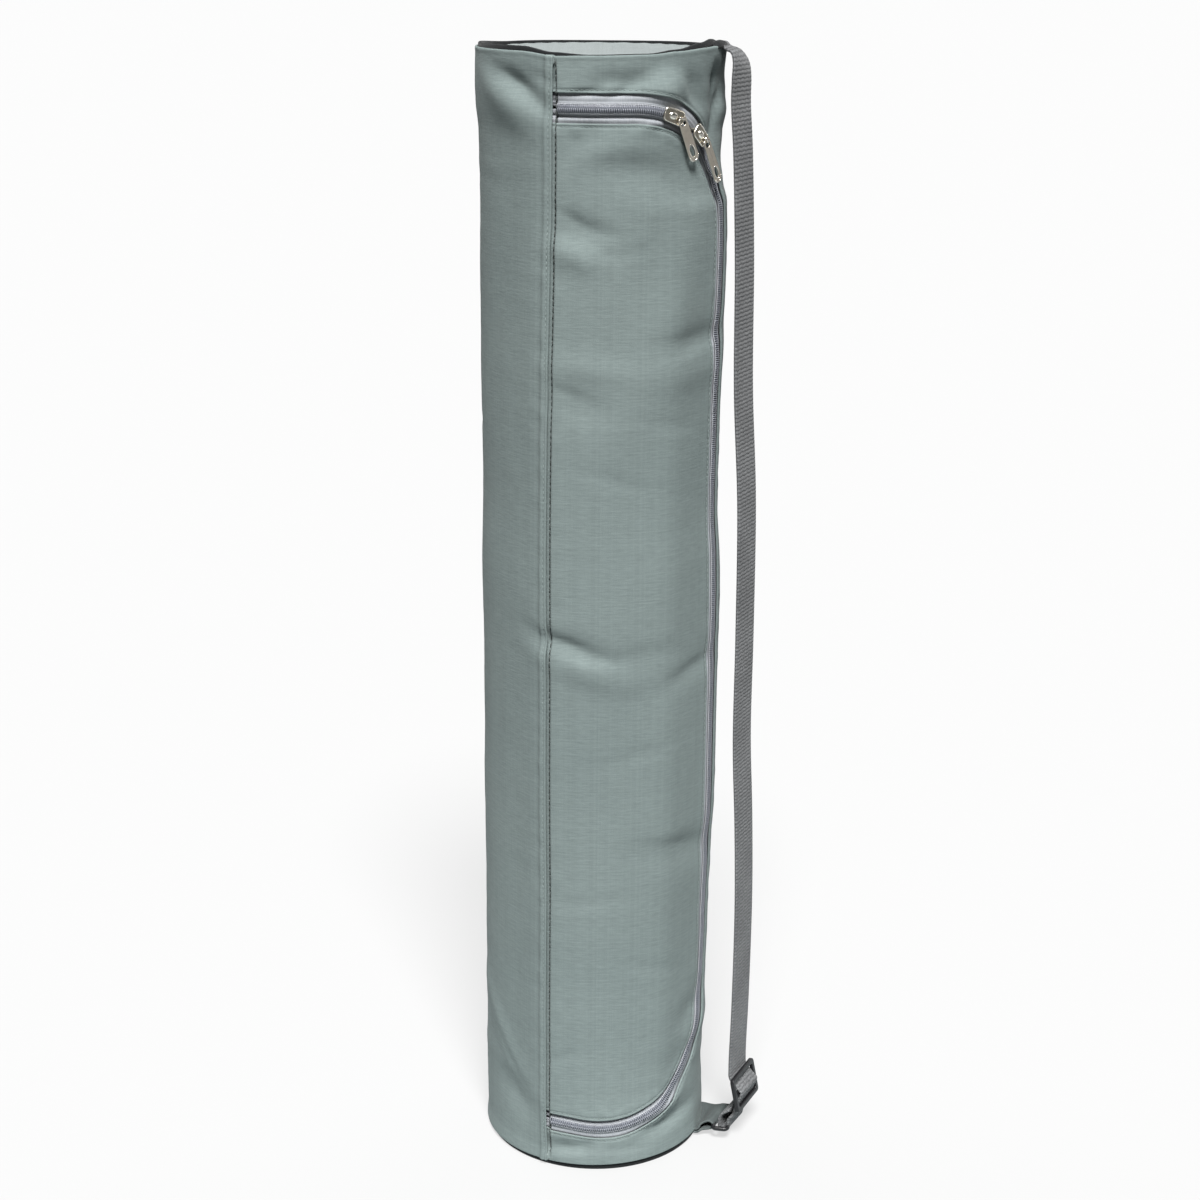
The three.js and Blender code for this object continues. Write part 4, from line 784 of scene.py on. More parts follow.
# Points along the zip at some distance outside its line; every distance gives as many points
def zipLine(offset, start, step=3.0):
    stops = [start, *(s for s in seamStops if s > start + 0.5)]

    def upTo(end):
        count = round((end - stops[-1]) / step) + 1
        return [*stops, *np.linspace(stops[-1], end, count)[1:-1]]

    top, low = upTo(topCentre[0]), upTo(lowCentre[0])
    points = [(s, topLine + offset) for s in top]
    for centre, size, first in ((topCentre, topSize, 90), (lowCentre, lowSize, 0)):
        parts = round(size * math.pi / 2 / step)
        for k in range(parts + 1):
            angle = math.radians(first - 90 * k / parts)
            reach = size + offset
            points.append((centre[0] + reach * math.cos(angle), centre[1] + reach * math.sin(angle)))
        if first:
            drop = topCentre[1] - lowCentre[1]
            parts = round(drop / step)
            for k in range(1, parts):
                points.append((zipLay["sideArc"] + offset, topCentre[1] - drop * k / parts))
    points += [(s, float(lowLine(s)) - offset) for s in reversed(low)]
    return np.array(points)


zipMiddle = zipLine(0.0, hinge["arc"], 0.9)
zipLengths = lengthsAlong(zipMiddle)
zipTotal = zipLengths[-1]


# The arc and height at a length along the zip, and at a distance to its outer side
def alongZip(length, across=0.0):
    def at(place):
        return np.stack([np.interp(place, zipLengths, zipMiddle[:, k]) for k in (0, 1)])

    ahead = 0.8
    arc, height = at(length)
    way = at(length + ahead) - at(length - ahead)
    way = way / np.hypot(way[0], way[1])
    return arc - way[1] * across, height + way[0] * across


# Cloth

puckers = {"depth": 0.3, "reach": 8.0, "length": 11.0, "lapEnd": 40}
# where they are deepest beside the zip and the hems, in mm from the edge, and their share of the depth
zipPuckers, hemPuckers = (3, 0.8), (6, 0.7)
seeds = {
    "hinge": 1.0, "lap": 2.0, "door": 5.0, "wall": 7.0, "rim": 11.0, "foot": 13.0, "broad": 3.1, "fine": 9.7,
    "topBinding": 2.0, "baseShadowBinding": 6.0,
}
ripples = {"depth": 0.42, "length": 46.0, "fineDepth": 0.12, "fineLength": 13.0, "squat": 1.6}
footZip = {"door": 2.0, "wall": 1.6, "from": 200, "over": 120, "fade": 14}
topstitch = {
    "inset": 2.2, "dimple": 0.28, "width": 0.7, "puff": 0.25, "puffBeyond": 2.0, "puffWidth": 1.6,
    "doubled": 0.22, "doubledPast": 0.6, "doubledFade": 1.2,
    "edgePuff": 0.18, "edgePuffAt": 1.1, "edgePuffWidth": 0.55,
}
rimPuff = {"height": 0.25, "place": 1.6, "width": 1.1}
# how far the forms of the lap, hem and zip reach into the wall, and its calm stretch beside a hem
wallZones = {"lap": 12, "lapForm": 30, "hem": 8, "zipForm": 60, "zipFade": 10, "calm": 26}
clothGrid = {"from": -22.4, "doorFoot": 38, "wallFoot": 6.5, "wallTop": 5.5, "clear": 1.4, "slack": 0.02}
foldRadius = hem["roll"]
quarter = math.pi * foldRadius / 2
edgeLines = [-5, -3.6, -2.2, -quarter, -0.6 * quarter, -0.2 * quarter, 0.2 * quarter, 0.6 * quarter,
             quarter, 1.4, 1.9, 2.4, 3.0, 4.0]


def softNoise(arc, height, length, seed):
    turn = arc / girth * 2 * math.pi
    spread = radius / length
    return np.array([
        noise.noise(Vector((math.sin(a) * spread, math.cos(a) * spread + seed, h / length)))
        for a, h in zip(turn, height)
    ])


# A turned edge: from the flat distance inside the fold line to the place and the drop
def foldOver(flat):
    angle = np.clip(flat / quarter, -1, 1) * math.pi / 2
    place = np.where(np.abs(flat) < quarter, quarter - foldRadius * np.cos(angle), np.abs(flat))
    drop = -foldRadius + foldRadius * np.sin(angle)
    return place, drop


# The cloth beside an edge: doubled by the turned hem, dimpled at the stitch line
def edgeForm(flat):
    doubledTo = hem["turned"] + topstitch["doubledPast"]
    doubled = topstitch["doubled"] * smooth((doubledTo - flat) / topstitch["doubledFade"])
    dimple = topstitch["dimple"] * hill(flat, topstitch["inset"], topstitch["width"])
    beyond = topstitch["inset"] + topstitch["puffBeyond"]
    puff = topstitch["puff"] * hill(flat, beyond, topstitch["puffWidth"])
    puff += topstitch["edgePuff"] * hill(flat, topstitch["edgePuffAt"], topstitch["edgePuffWidth"])
    return np.where(flat > 0, doubled - dimple + puff, doubled)


def clothWaves(arc, height):
    broad = softNoise(arc, height, ripples["length"], seeds["broad"]) * ripples["depth"]
    fine = softNoise(arc, height * ripples["squat"], ripples["fineLength"], seeds["fine"])
    fine = fine * ripples["fineDepth"]
    return broad + fine


def seamPucker(along, away, seed):
    value = np.array([noise.noise(Vector((x / puckers["length"], seed, 0.0))) for x in along])
    return value * puckers["depth"] * 2 * hill(away, 0, puckers["reach"])


# The cloth gathers most at the middle distance from an edge, and not at all on the edge itself
def edgePucker(along, away, seed, middle, share):
    return seamPucker(along, np.abs(away - middle), seed) * smooth(away / middle) * share


def hingePucker(arc, height):
    away = arc - hinge["arc"]
    return seamPucker(height, away, seeds["hinge"]) * smooth((away - 1) / 3)


def lapPucker(height, away):
    return seamPucker(height, away - 3, seeds["lap"])


# Joins scattered flat points into a cloth, keeping the triangles that lie on it
def clothFaces(flat, keep):
    points, _, faces, *_ = delaunay_2d_cdt([Vector(p) for p in flat], [], [], 0, 1e-5)
    points = np.array([tuple(p) for p in points])
    faces = np.array([f for f in faces if len(f) == 3])
    middles = points[faces].mean(axis=1)
    return points, faces[keep(middles[:, 0], middles[:, 1])].tolist()


# The cloth closes in on the coil along the foot of the zip; away is the distance from its edge
def footPush(height, away, most):
    share = smooth((footZip["from"] - height) / footZip["over"])
    return most * share * hill(np.maximum(away, 0), 0, footZip["fade"])


def buildDoor():
    start = hinge["arc"] - hinge["under"]
    edge = -zipLay["doorShow"]
    flat = [zipLine(edge - e, start) for e in edgeLines]
    inner = np.arange(clothGrid["from"], zipLay["sideArc"], bag["grid"])
    rows = np.arange(clothGrid["doorFoot"], topLine, bag["grid"])
    grid = crossed(np.concatenate([[start, *seamStops], inner]), rows)
    distance, _ = fromZip(grid[:, 0], grid[:, 1])
    flat.append(grid[distance < edge - edgeLines[-1] - clothGrid["clear"]])
    reach = edge - edgeLines[0] + clothGrid["slack"]

    def onDoor(arc, height):
        distance, _ = fromZip(arc, height)
        return (distance < reach) & (arc > start)

    points, faces = clothFaces(np.concatenate(flat), onDoor)
    arc, height = points[:, 0], points[:, 1]
    distance, way = fromZip(arc, height)
    flatIn = edge - distance
    place, drop = foldOver(flatIn)
    shift = flatIn - place + footPush(height, flatIn, footZip["door"])
    atArc, atHeight = arc + way[:, 0] * shift, height + way[:, 1] * shift
    lift = drop + edgeForm(flatIn)
    lift += clothWaves(atArc, atHeight) * smooth(flatIn / hem["zone"])
    lift += hingePucker(arc, height)
    lift += edgePucker(arc + height, flatIn, seeds["door"], *zipPuckers)
    return toMesh("doorCloth", onWall(atArc, atHeight, lift), faces, points)


def buildWall():
    start, end = hinge["arc"] - hinge["under"], hinge["arc"] + girth
    edge, lapZone, hemZone = zipLay["wallShow"], wallZones["lap"], wallZones["hem"]
    lapLines = np.array([*edgeLines, 5.2, 6.2, 7.2, 8.2, 9.2, 10.4])
    inner = np.arange(clothGrid["from"], end - lapZone, bag["grid"])
    across = np.concatenate([[start, *seamStops], inner, end - lapLines])
    flat = [zipLine(edge + e, start) for e in edgeLines]
    for e in edgeLines:
        flat.append(np.stack([across, np.full_like(across, bag["height"] - e)], axis=-1))
        flat.append(np.stack([across, np.full_like(across, float(e))], axis=-1))
    rows = np.arange(clothGrid["wallFoot"], bag["height"] - clothGrid["wallTop"], bag["grid"])
    grid = crossed(across, rows)
    distance, _ = fromZip(grid[:, 0], grid[:, 1])
    flat.append(grid[distance > edge + edgeLines[-1] + clothGrid["clear"]])

    def onPanel(arc, height):
        distance, _ = fromZip(arc, height)
        return distance > edge + edgeLines[0] - clothGrid["slack"]

    points, faces = clothFaces(np.concatenate(flat), onPanel)
    arc, height = points[:, 0], points[:, 1]
    distance, way = fromZip(arc, height)
    flatZip, flatLap = distance - edge, end - arc
    flatRim, flatFoot = bag["height"] - height, height
    place, drop = foldOver(flatZip)
    shift = place - flatZip - footPush(height, flatZip, footZip["wall"])
    atArc = arc + way[:, 0] * shift
    atHeight = height + way[:, 1] * shift
    lift = drop + edgeForm(flatZip) * smooth((wallZones["zipForm"] - flatZip) / wallZones["zipFade"])
    place, lapDrop = foldOver(flatLap)
    atArc = np.where(flatLap < lapZone, end - place, atArc)
    lift += lapDrop * (flatLap < lapZone) + edgeForm(flatLap) * (flatLap < wallZones["lapForm"])
    lift += hinge["lapLift"] * smooth((hinge["lapWidth"] - flatLap) / hinge["lapSlope"])
    place, rimDrop = foldOver(flatRim)
    atHeight = np.where(flatRim < hemZone, bag["height"] - place, atHeight)
    lift += rimDrop * (flatRim < hemZone)
    lift += rimPuff["height"] * hill(flatRim, rimPuff["place"], rimPuff["width"])
    place, footDrop = foldOver(flatFoot)
    atHeight = np.where(flatFoot < hemZone, place, atHeight)
    lift += footDrop * (flatFoot < hemZone)
    turn = arc / girth
    free = smooth(flatRim / wallZones["calm"]) * smooth(flatFoot / wallZones["calm"])
    lift += clothWaves(atArc, atHeight) * free * smooth(flatZip / hem["zone"])
    lift += lapPucker(height, flatLap) * smooth((flatLap - 1) / 3) * (flatLap < puckers["lapEnd"])
    lift += hingePucker(arc, height)
    lift += edgePucker(arc + height, flatZip, seeds["wall"], *zipPuckers)
    lift += edgePucker(arc, flatRim, seeds["rim"], *hemPuckers)
    lift += edgePucker(arc, flatFoot, seeds["foot"], *hemPuckers)
    topShare = smooth((hem["zone"] - flatRim) / hem["zone"])
    footShare = smooth((hem["zone"] - flatFoot) / hem["zone"])
    spots = onWall(atArc, atHeight, lift)
    spots[:, 2] = atHeight + rimAt(turn, 1) * topShare + wallFoot(turn) * footShare
    return toMesh("wallCloth", spots, faces, points)


# Turns a cloth's faces away from the bag's middle
def outward(mesh):
    middle = np.array([tuple(p.center) for p in mesh.polygons])
    facing = np.array([tuple(p.normal) for p in mesh.polygons])
    if (middle[:, :2] * facing[:, :2]).sum() < 0:
        mesh.flip_normals()
    return mesh


wallCloth = addPiece("wallCloth", outward(buildWall()), cloth, ("wall_panel", "hinge_seam"))
doorCloth = addPiece("doorCloth", outward(buildDoor()), cloth, ("door_panel",))
for piece in (wallCloth, doorCloth):
    thicken(piece, bag["cloth"])

print("bag: wall and door ready")


# Zip

tape = {
    "split": 0.7, "tuck": 7, "level": -1.62, "thickness": 0.5, "under": 3.5, "step": 2.4,
    "cord": 0.42, "cordAt": 3.15, "cordWidth": 0.32, "groove": 1.5, "grooveAt": 4.2, "grooveWidth": 0.85,
    "puff": 0.5, "puffAt": 5.8, "puffWidth": 1.2, "edge": 0.35, "edgeFrom": 6.9, "edgeOver": 1.2,
}
coil = {"pitch": 1.28, "level": -1.2, "wire": 0.52, "flat": 0.9, "bedStep": 2.5}
coilSewing = {"across": 2.62, "rise": 0.42, "thick": 0.2, "lump": 0.07}
zipSpan = {"upperLength": 72.4, "spacing": 24.6, "mouth": 3.5, "ends": 0.4}


def buildTape(name, near, far, side):
    shares = np.array([0, 0.06, 0.13, 0.17, 0.2, 0.23, 0.28, 0.34, 0.4, 0.46, 0.54, 0.64, 0.8, 1.0])
    offsets = near + (far - near) * shares
    lines = [zipLine(offset, hinge["arc"] - tape["under"], tape["step"]) for offset in offsets]
    rows = []
    for across, line in zip(np.abs(offsets), lines):
        cord = tape["cord"] * hill(across, tape["cordAt"], tape["cordWidth"]) * (side > 0)
        groove = tape["groove"] * hill(across, tape["grooveAt"], tape["grooveWidth"]) * (side < 0)
        puff = tape["puff"] * hill(across, tape["puffAt"], tape["puffWidth"])
        edge = tape["edge"] * smooth((across - tape["edgeFrom"]) / tape["edgeOver"])
        rows.append(onWall(line[:, 0], line[:, 1], tape["level"] + cord - groove + puff - edge))
    points = np.stack(rows, axis=1)
    places = crossed(np.abs(offsets) * side, lengthsAlong(lines[0]))
    faces = gridFaces(points.shape[0], points.shape[1])
    return toMesh(name, points.reshape(-1, 3), faces, places)


tapeWallMesh = buildTape("zipTapeWall", tape["split"], zipLay["wallShow"] + tape["tuck"], 1)
tapeDoorMesh = buildTape("zipTapeDoor", -tape["split"], -zipLay["doorShow"] - tape["tuck"], -1)
zipTapeWall = addPiece("zipTapeWall", outward(tapeWallMesh), zipTape, ("zip_tape_wall",))
zipTapeDoor = addPiece("zipTapeDoor", outward(tapeDoorMesh), zipTape, ("zip_tape_door",))
for piece in (zipTapeWall, zipTapeDoor):
    thicken(piece, tape["thickness"])

# across and rise of a tooth's centre, then its half length along the zip
toothPath = np.array([
    (2.5, 0.42, 0.3), (2.15, 0.95, 0.34), (1.2, 1.32, 0.36), (0.25, 1.36, 0.46), (-0.42, 1.05, 0.34),
])
# across and rise round the filling inside the coil
coilBed = np.array([
    (-2.4, 0.05), (-1.9, 0.55), (0, 0.7), (1.9, 0.55), (2.4, 0.05), (1.9, -0.1), (0, -0.1), (-1.9, -0.1),
])


# A band along the zip: across and rise hold one row of its section, or one for each length
def bandAlongZip(lengths, across, rise):
    across = np.broadcast_to(across, (len(lengths), np.shape(across)[-1]))
    arc, height = alongZip(lengths[:, None] + 0 * across, across)
    points = onWall(arc, height, coil["level"] + rise)
    return points.reshape(-1, 3), tubeFaces(len(lengths), across.shape[1])


def buildCoil(name, begin, finish):
    around = 6
    parts = []
    count = int((finish - begin) / coil["pitch"])
    angles = ringAngles(around)
    for side, phase in ((1, 0.25), (-1, 0.75)):
        lengths = begin + (np.arange(count) + phase) * coil["pitch"]
        along = lengths[:, None, None] + toothPath[None, :, None, 2] * np.cos(angles)
        across = side * np.broadcast_to(toothPath[None, :, None, 0], along.shape)
        rise = toothPath[None, :, None, 1] + coil["wire"] * coil["flat"] * np.sin(angles)
        arc, height = alongZip(along, across)
        points = onWall(arc, height, coil["level"] + rise)
        parts.append((points.reshape(-1, 3), tubeFaces(len(toothPath), around, copies=count)))
    parts.append(bandAlongZip(np.arange(begin, finish, coil["bedStep"]), coilBed[:, 0], coilBed[:, 1]))
    return faceOut(toMesh(name, *joinParts(parts)))


# Two lines of sewing that hold the coil to its tapes, a little lump for each stitch
def buildCoilThread(name, begin, finish):
    lengths = np.arange(begin, finish, coil["pitch"] / 2)
    lump = (coilSewing["thick"] + coilSewing["lump"] * (np.arange(len(lengths)) % 2))[:, None]
    angles = ringAngles(5)
    across = coilSewing["across"] + lump * np.cos(angles)
    rise = coilSewing["rise"] + lump * np.sin(angles)
    parts = [bandAlongZip(lengths, side * across, rise) for side in (1, -1)]
    return faceOut(toMesh(name, *joinParts(parts)))


lowerLength = zipSpan["upperLength"] + zipSpan["spacing"]
upperSpan = (zipSpan["ends"], zipSpan["upperLength"] + zipSpan["mouth"])
lowerSpan = (lowerLength - zipSpan["mouth"], zipTotal - zipSpan["ends"])
for place, span in (("Upper", upperSpan), ("Lower", lowerSpan)):
    node = f"zip_coil_{place.lower()}"
    addPiece(f"zipCoil{place}", buildCoil(f"zipCoil{place}", *span), nylonCoil, (node,))
    addPiece(f"coilThread{place}", buildCoilThread(f"coilThread{place}", *span), tapeThread)
print("bag: zip ready")


# Sliders and pulls, each in the frame that its own joint and CAD node give

slider = {
    "length": 14, "headWidth": 8.8, "tailWidth": 8.2, "plate": 1.1, "corner": 3, "plateTop": 2.52,
    "flangeBottom": -1.03, "channelHalf": 3.76, "underTop": -3.61, "post": 0.8, "postLength": 2.2,
    "domeHeight": 1.7, "domeWidth": 4.4, "domeLength": 6, "ease": 0.3, "buried": 0.3, "postBuried": 0.6,
    "rimLong": 0.93, "rimWide": 0.9, "rimThick": 0.72, "rimSunk": 0.12,
}
bridge = {"place": 4.2, "inner": 1.45, "wall": 0.6, "width": 0.9, "rise": 1.9, "ease": 0.16}
pull = {
    "length": 28, "thickness": 0.9, "eyeWidth": 5.5, "tipWidth": 6.6, "bar": 0.4, "eyeHalf": 1.9,
    "eyeLength": 4.2, "slotWidth": 3, "slotLength": 7.5, "slotFromTip": 6.6, "ease": 0.2, "play": 0.15,
    "rimInset": 0.45, "rimThick": 0.7, "rimFrom": 0.9, "lipLong": 1.1, "lipWide": 1.24, "lipThick": 0.5,
    "sunk": 0.1,
}


# The way that a solid's own flat faces look, out of those near a guess
def nodeAxis(node, guess):
    total = Vector()
    for face in node.data.polygons:
        if face.normal.dot(guess) > 0.9:
            total += face.normal * face.area
    return total.normalized()


def sliderFrame(node, joint, length):
    arc, height = alongZip(length + np.array([-1.5, 0, 1.5]))
    spots = onWall(arc, height, 0)
    guess = Vector(spots[2] - spots[0]).normalized()
    angle = arc[1] / radius
    out = Vector((math.sin(angle), -math.cos(angle), 0))
    out = (out - guess * out.dot(guess)).normalized()
    out = nodeAxis(node, out)
    across = out.cross(guess).normalized()
    across = (nodeAxis(node, across) - nodeAxis(node, -across)).normalized()
    along = across.cross(out).normalized()
    out = along.cross(across)
    barReach = math.hypot(pull["bar"], pull["thickness"] / 2)
    barAt = slider["plateTop"] + bridge["rise"] - barReach - pull["play"]
    centre = Vector(joint["pos_m"]) / mm - along * bridge["place"] - out * barAt
    return Matrix([(*row, 0) for row in zip(along, across, out)]).to_3x3(), centre


# A pull lies from its hinge towards its farthest points
def pullFrame(node, joint):
    start, axis = Vector(joint["pos_m"]) / mm, Vector(joint["axis"]).normalized()
    away = np.array([tuple(v.co) for v in node.data.vertices]) / mm - np.array(start)
    away -= np.outer(away @ np.array(axis), np.array(axis))
    reach = np.linalg.norm(away, axis=1)
    tipZone = 0.6
    along = Vector(away[reach > reach.max() - tipZone].mean(axis=0)).normalized()
    across = axis if along.cross(axis).dot(Vector((start.x, start.y, 0))) > 0 else -axis
    return Matrix([(*row, 0) for row in zip(along, across, along.cross(across))]).to_3x3(), start


def sliderOutline(flip):
    half, corner, parts = slider["length"] / 2, slider["corner"], 6
    head, tail = slider["headWidth"] / 2, slider["tailWidth"] / 2
    spots = []
    for sx, sy, wide in ((1, -1, head), (1, 1, head), (-1, 1, tail), (-1, -1, tail)):
        corners = [(half - corner, wide), (half, wide), (half, wide - corner)]
        corners = [(sx * x, sy * y) for x, y in corners]
        if sx * sy > 0:
            corners.reverse()
        for k in range(parts + 1):
            t = k / parts
            weights = ((1 - t) ** 2, 2 * t * (1 - t), t * t)
            spots.append(tuple(sum(w * c[axis] for w, c in zip(weights, corners)) for axis in (0, 1)))
    return [(-x, -y) for x, y in spots] if flip else spots


# One line of the bridge's arch from the side; straight is the share of its rise that stands upright
def archLine(reach, top, straight):
    squareness, turns = 0.7, np.linspace(0, math.pi, 9)
    return [
        (reach * math.cos(turn), top * (straight + (1 - straight) * max(math.sin(turn), 0) ** squareness))
        for turn in turns
    ]


def archOutline():
    foot = -slider["plate"] / 2
    inner, outer = bridge["inner"], bridge["inner"] + bridge["wall"]
    over = archLine(outer, bridge["rise"] + bridge["wall"], 0.5)
    under = archLine(inner, bridge["rise"], 0.6)
    return [(-inner, foot), *under[::-1], (inner, foot), (outer, foot), *over, (-outer, foot)]


# A dome, from its foot up to a very small flat at the top
def domePart(size, centre, rings=10, around=20):
    fullness, flatTop = 0.8, 0.02
    points = []
    for i in range(rings + 1):
        high = math.pi / 2 * i / rings
        reach = math.cos(high) ** fullness if i < rings else flatTop
        for turn in ringAngles(around):
            points.append((
                centre[0] + size[0] * reach * math.cos(turn),
                centre[1] + size[1] * reach * math.sin(turn),
                centre[2] + size[2] * math.sin(high),
            ))
    return points, tubeFaces(rings + 1, around)


def blockPart(low, high, ease=0.12):
    work = bmesh.new()
    bmesh.ops.create_cube(work, size=1)
    low, high = Vector(low), Vector(high)
    for vertex in work.verts:
        vertex.co = Vector((low[k] + high[k]) / 2 + vertex.co[k] * (high[k] - low[k]) for k in range(3))
    bmesh.ops.bevel(work, geom=work.edges[:], offset=ease, segments=2, affect="EDGES", profile=0.5)
    points = [tuple(v.co) for v in work.verts]
    faces = [[v.index for v in f.verts] for f in work.faces]
    work.free()
    return points, faces


def buildSlider(headSide):
    s = slider
    outline = sliderOutline(headSide < 0)
    buried = s["plateTop"] - s["buried"]
    parts = [
        platePart([outline], s["plate"], s["ease"], (0, 0, level - s["plate"] / 2))
        for level in (s["plateTop"], s["underTop"])
    ]
    half, wide = s["length"] / 2 - s["corner"], s["tailWidth"] / 2 - 0.02
    for near, far in ((-wide, -s["channelHalf"]), (s["channelHalf"], wide)):
        parts.append(blockPart((-half, near, s["flangeBottom"]), (half, far, buried)))
    postAt = headSide * (s["length"] / 2 - 1 - s["postLength"] / 2)
    low = (postAt - s["postLength"] / 2, -s["post"] / 2, s["underTop"] - s["postBuried"])
    parts.append(blockPart(low, (postAt + s["postLength"] / 2, s["post"] / 2, buried)))
    domeAt = bridge["place"] - bridge["inner"] - bridge["wall"] - s["domeLength"] / 2
    domeSize = (s["domeLength"] / 2, s["domeWidth"] / 2, s["domeHeight"])
    upright = Matrix(((1, 0, 0), (0, 0, -1), (0, 1, 0)))
    arch = platePart([archOutline()], bridge["width"], bridge["ease"],
                     (bridge["place"], 0, s["plateTop"]), upright)
    rim = [(x * s["rimLong"], y * s["rimWide"], s["plateTop"] - s["rimSunk"]) for x, y in outline]
    trim = [domePart(domeSize, (domeAt, 0, buried)), arch, linePart(rim, s["rimThick"], 8, closed=True)]
    return joinParts(parts), joinParts(trim)


def pullOutline(inset=0.0):
    eye, tip = pull["eyeWidth"] / 2 - inset, pull["tipWidth"] / 2 - inset
    end = pull["length"] - pull["tipWidth"] / 2
    first = -pull["bar"] + inset
    spots = [(first, -eye + 0.7), (first + 0.25, -eye + 0.2), (first + 0.8, -eye)]
    for k in range(17):
        angle = -math.pi / 2 + math.pi * k / 16
        spots.append((end + tip * math.cos(angle), tip * math.sin(angle)))
    spots += [(first + 0.8, eye), (first + 0.25, eye - 0.2), (first, eye - 0.7)]
    return spots


def buildPull():
    deep, wide = pull["bar"] + pull["eyeLength"], pull["eyeHalf"]
    eye = [(pull["bar"], -wide), (pull["bar"], wide), (deep - 1.2, wide), (deep - 0.5, wide * 0.86),
           (deep - 0.1, wide * 0.5), (deep, 0), (deep - 0.1, -wide * 0.5), (deep - 0.5, -wide * 0.86),
           (deep - 1.2, -wide)]
    slotAt = pull["length"] - pull["slotFromTip"]
    slot = [
        (slotAt + pull["slotLength"] / 2 * math.cos(turn), -pull["slotWidth"] / 2 * math.sin(turn))
        for turn in ringAngles(20)
    ]
    plate = platePart([pullOutline(), eye, slot], pull["thickness"], pull["ease"])
    trim = []
    for side in (-1, 1):
        level = side * (pull["thickness"] / 2 - pull["sunk"])
        rim = [(x, y, level) for x, y in pullOutline(pull["rimInset"]) if x > pull["rimFrom"]]
        trim.append(linePart(rim, pull["rimThick"], 8))
        lip = [(slotAt + (x - slotAt) * pull["lipLong"], y * pull["lipWide"], level) for x, y in slot]
        trim.append(linePart(lip, pull["lipThick"], 8, closed=True))
    return plate, joinParts(trim)


def placed(name, part, basis, centre):
    points = np.array(part[0]) @ np.array(basis).T + np.array(centre)
    return faceOut(toMesh(name, points, part[1]))


joints = {joint["name"]: joint for joint in frame["joints"]}
for place, headSide, length in (("upper", 1, zipSpan["upperLength"]), ("lower", -1, lowerLength)):
    joint = joints[f"{place}_pull_hinge"]
    basis, centre = sliderFrame(frame["nodes"][f"{place}_slider"], joint, length)
    plates, trim = buildSlider(headSide)
    name = f"{place}SliderBody"
    addPiece(name, placed(name, plates, basis, centre), shadedNickel, (f"{place}_slider",))
    name = f"{place}SliderTrim"
    addPiece(name, placed(name, trim, basis, centre), highlitNickel)
    basis, centre = pullFrame(frame["nodes"][f"{place}_pull"], joint)
    plate, trim = buildPull()
    name, body = f"{place}PullTab", f"{place}_pull_tab"
    addPiece(name, placed(name, plate, basis, centre), creamNickel, (f"{place}_pull",), body)
    name = f"{place}PullRims"
    addPiece(name, placed(name, trim, basis, centre), highlitNickel, (), body)
print("bag: sliders and pulls ready")


# Top and base

topCover = {"thickness": 1.2, "sunk": 3.2, "crown": 2.4, "gap": 0.3}
topBinding = {"width": 2.2, "depth": 4.6, "tuckIn": 2.1}
baseFit = {"bindingWidth": 2.2, "bindingHeight": 4, "cloth": 2, "gap": 0.3}
columns = 240


def polar(turn, reach, height):
    angle = turn * 2 * math.pi
    return np.stack(np.broadcast_arrays(reach * np.sin(angle), -reach * np.cos(angle), height), axis=-1)


def bindingInset(turn):
    return -bag["wall"] - topCover["gap"] - rimAt(turn, 3) / hem["wave"] * topBinding["tuckIn"]


bindingForm = {"around": 14, "squareness": 0.55, "puckers": 9, "puckerDepth": 0.12}


# A band folded over the raw edges: a soft rounded section that puckers as it goes round
def buildBinding(name, outerAt, width, lowAt, highAt, seed):
    turn = np.arange(columns) / columns - 0.5
    angles = ringAngles(bindingForm["around"])
    across = np.sign(np.cos(angles)) * np.abs(np.cos(angles)) ** bindingForm["squareness"]
    upward = np.sign(np.sin(angles)) * np.abs(np.sin(angles)) ** bindingForm["squareness"]
    outer, low, high = outerAt(turn), lowAt(turn), highAt(turn)
    noiseReach = bindingForm["puckers"]
    pucker = np.array([
        noise.noise(Vector((math.sin(angle) * noiseReach, math.cos(angle) * noiseReach, seed)))
        for angle in turn * 2 * math.pi
    ])
    swell = 1 + bindingForm["puckerDepth"] * pucker
    half = (width / 2 * np.minimum(swell, 1))[:, None]
    reach = (outer - width / 2)[:, None] + across * half
    height = ((low + high) / 2)[:, None] + upward * ((high - low) / 2)[:, None]
    points = polar(turn[:, None], reach, height)
    faces = tubeFaces(columns, bindingForm["around"], loop=True)
    return faceOut(toMesh(name, points.reshape(-1, 3), faces, crossed(angles * width, turn * girth)))


def topBindingOuter(turn):
    return wallRadius(turn, np.ones_like(turn)) + bindingInset(turn)


def topBindingLevel(turn):
    return bag["height"] + rimAt(turn, 2)


topBindingMesh = buildBinding("topBinding", topBindingOuter, topBinding["width"],
                              lambda t: topBindingLevel(t) - topBinding["depth"], topBindingLevel,
                              seeds["topBinding"])
addPiece("topBinding", topBindingMesh, binding, ("top_binding",))


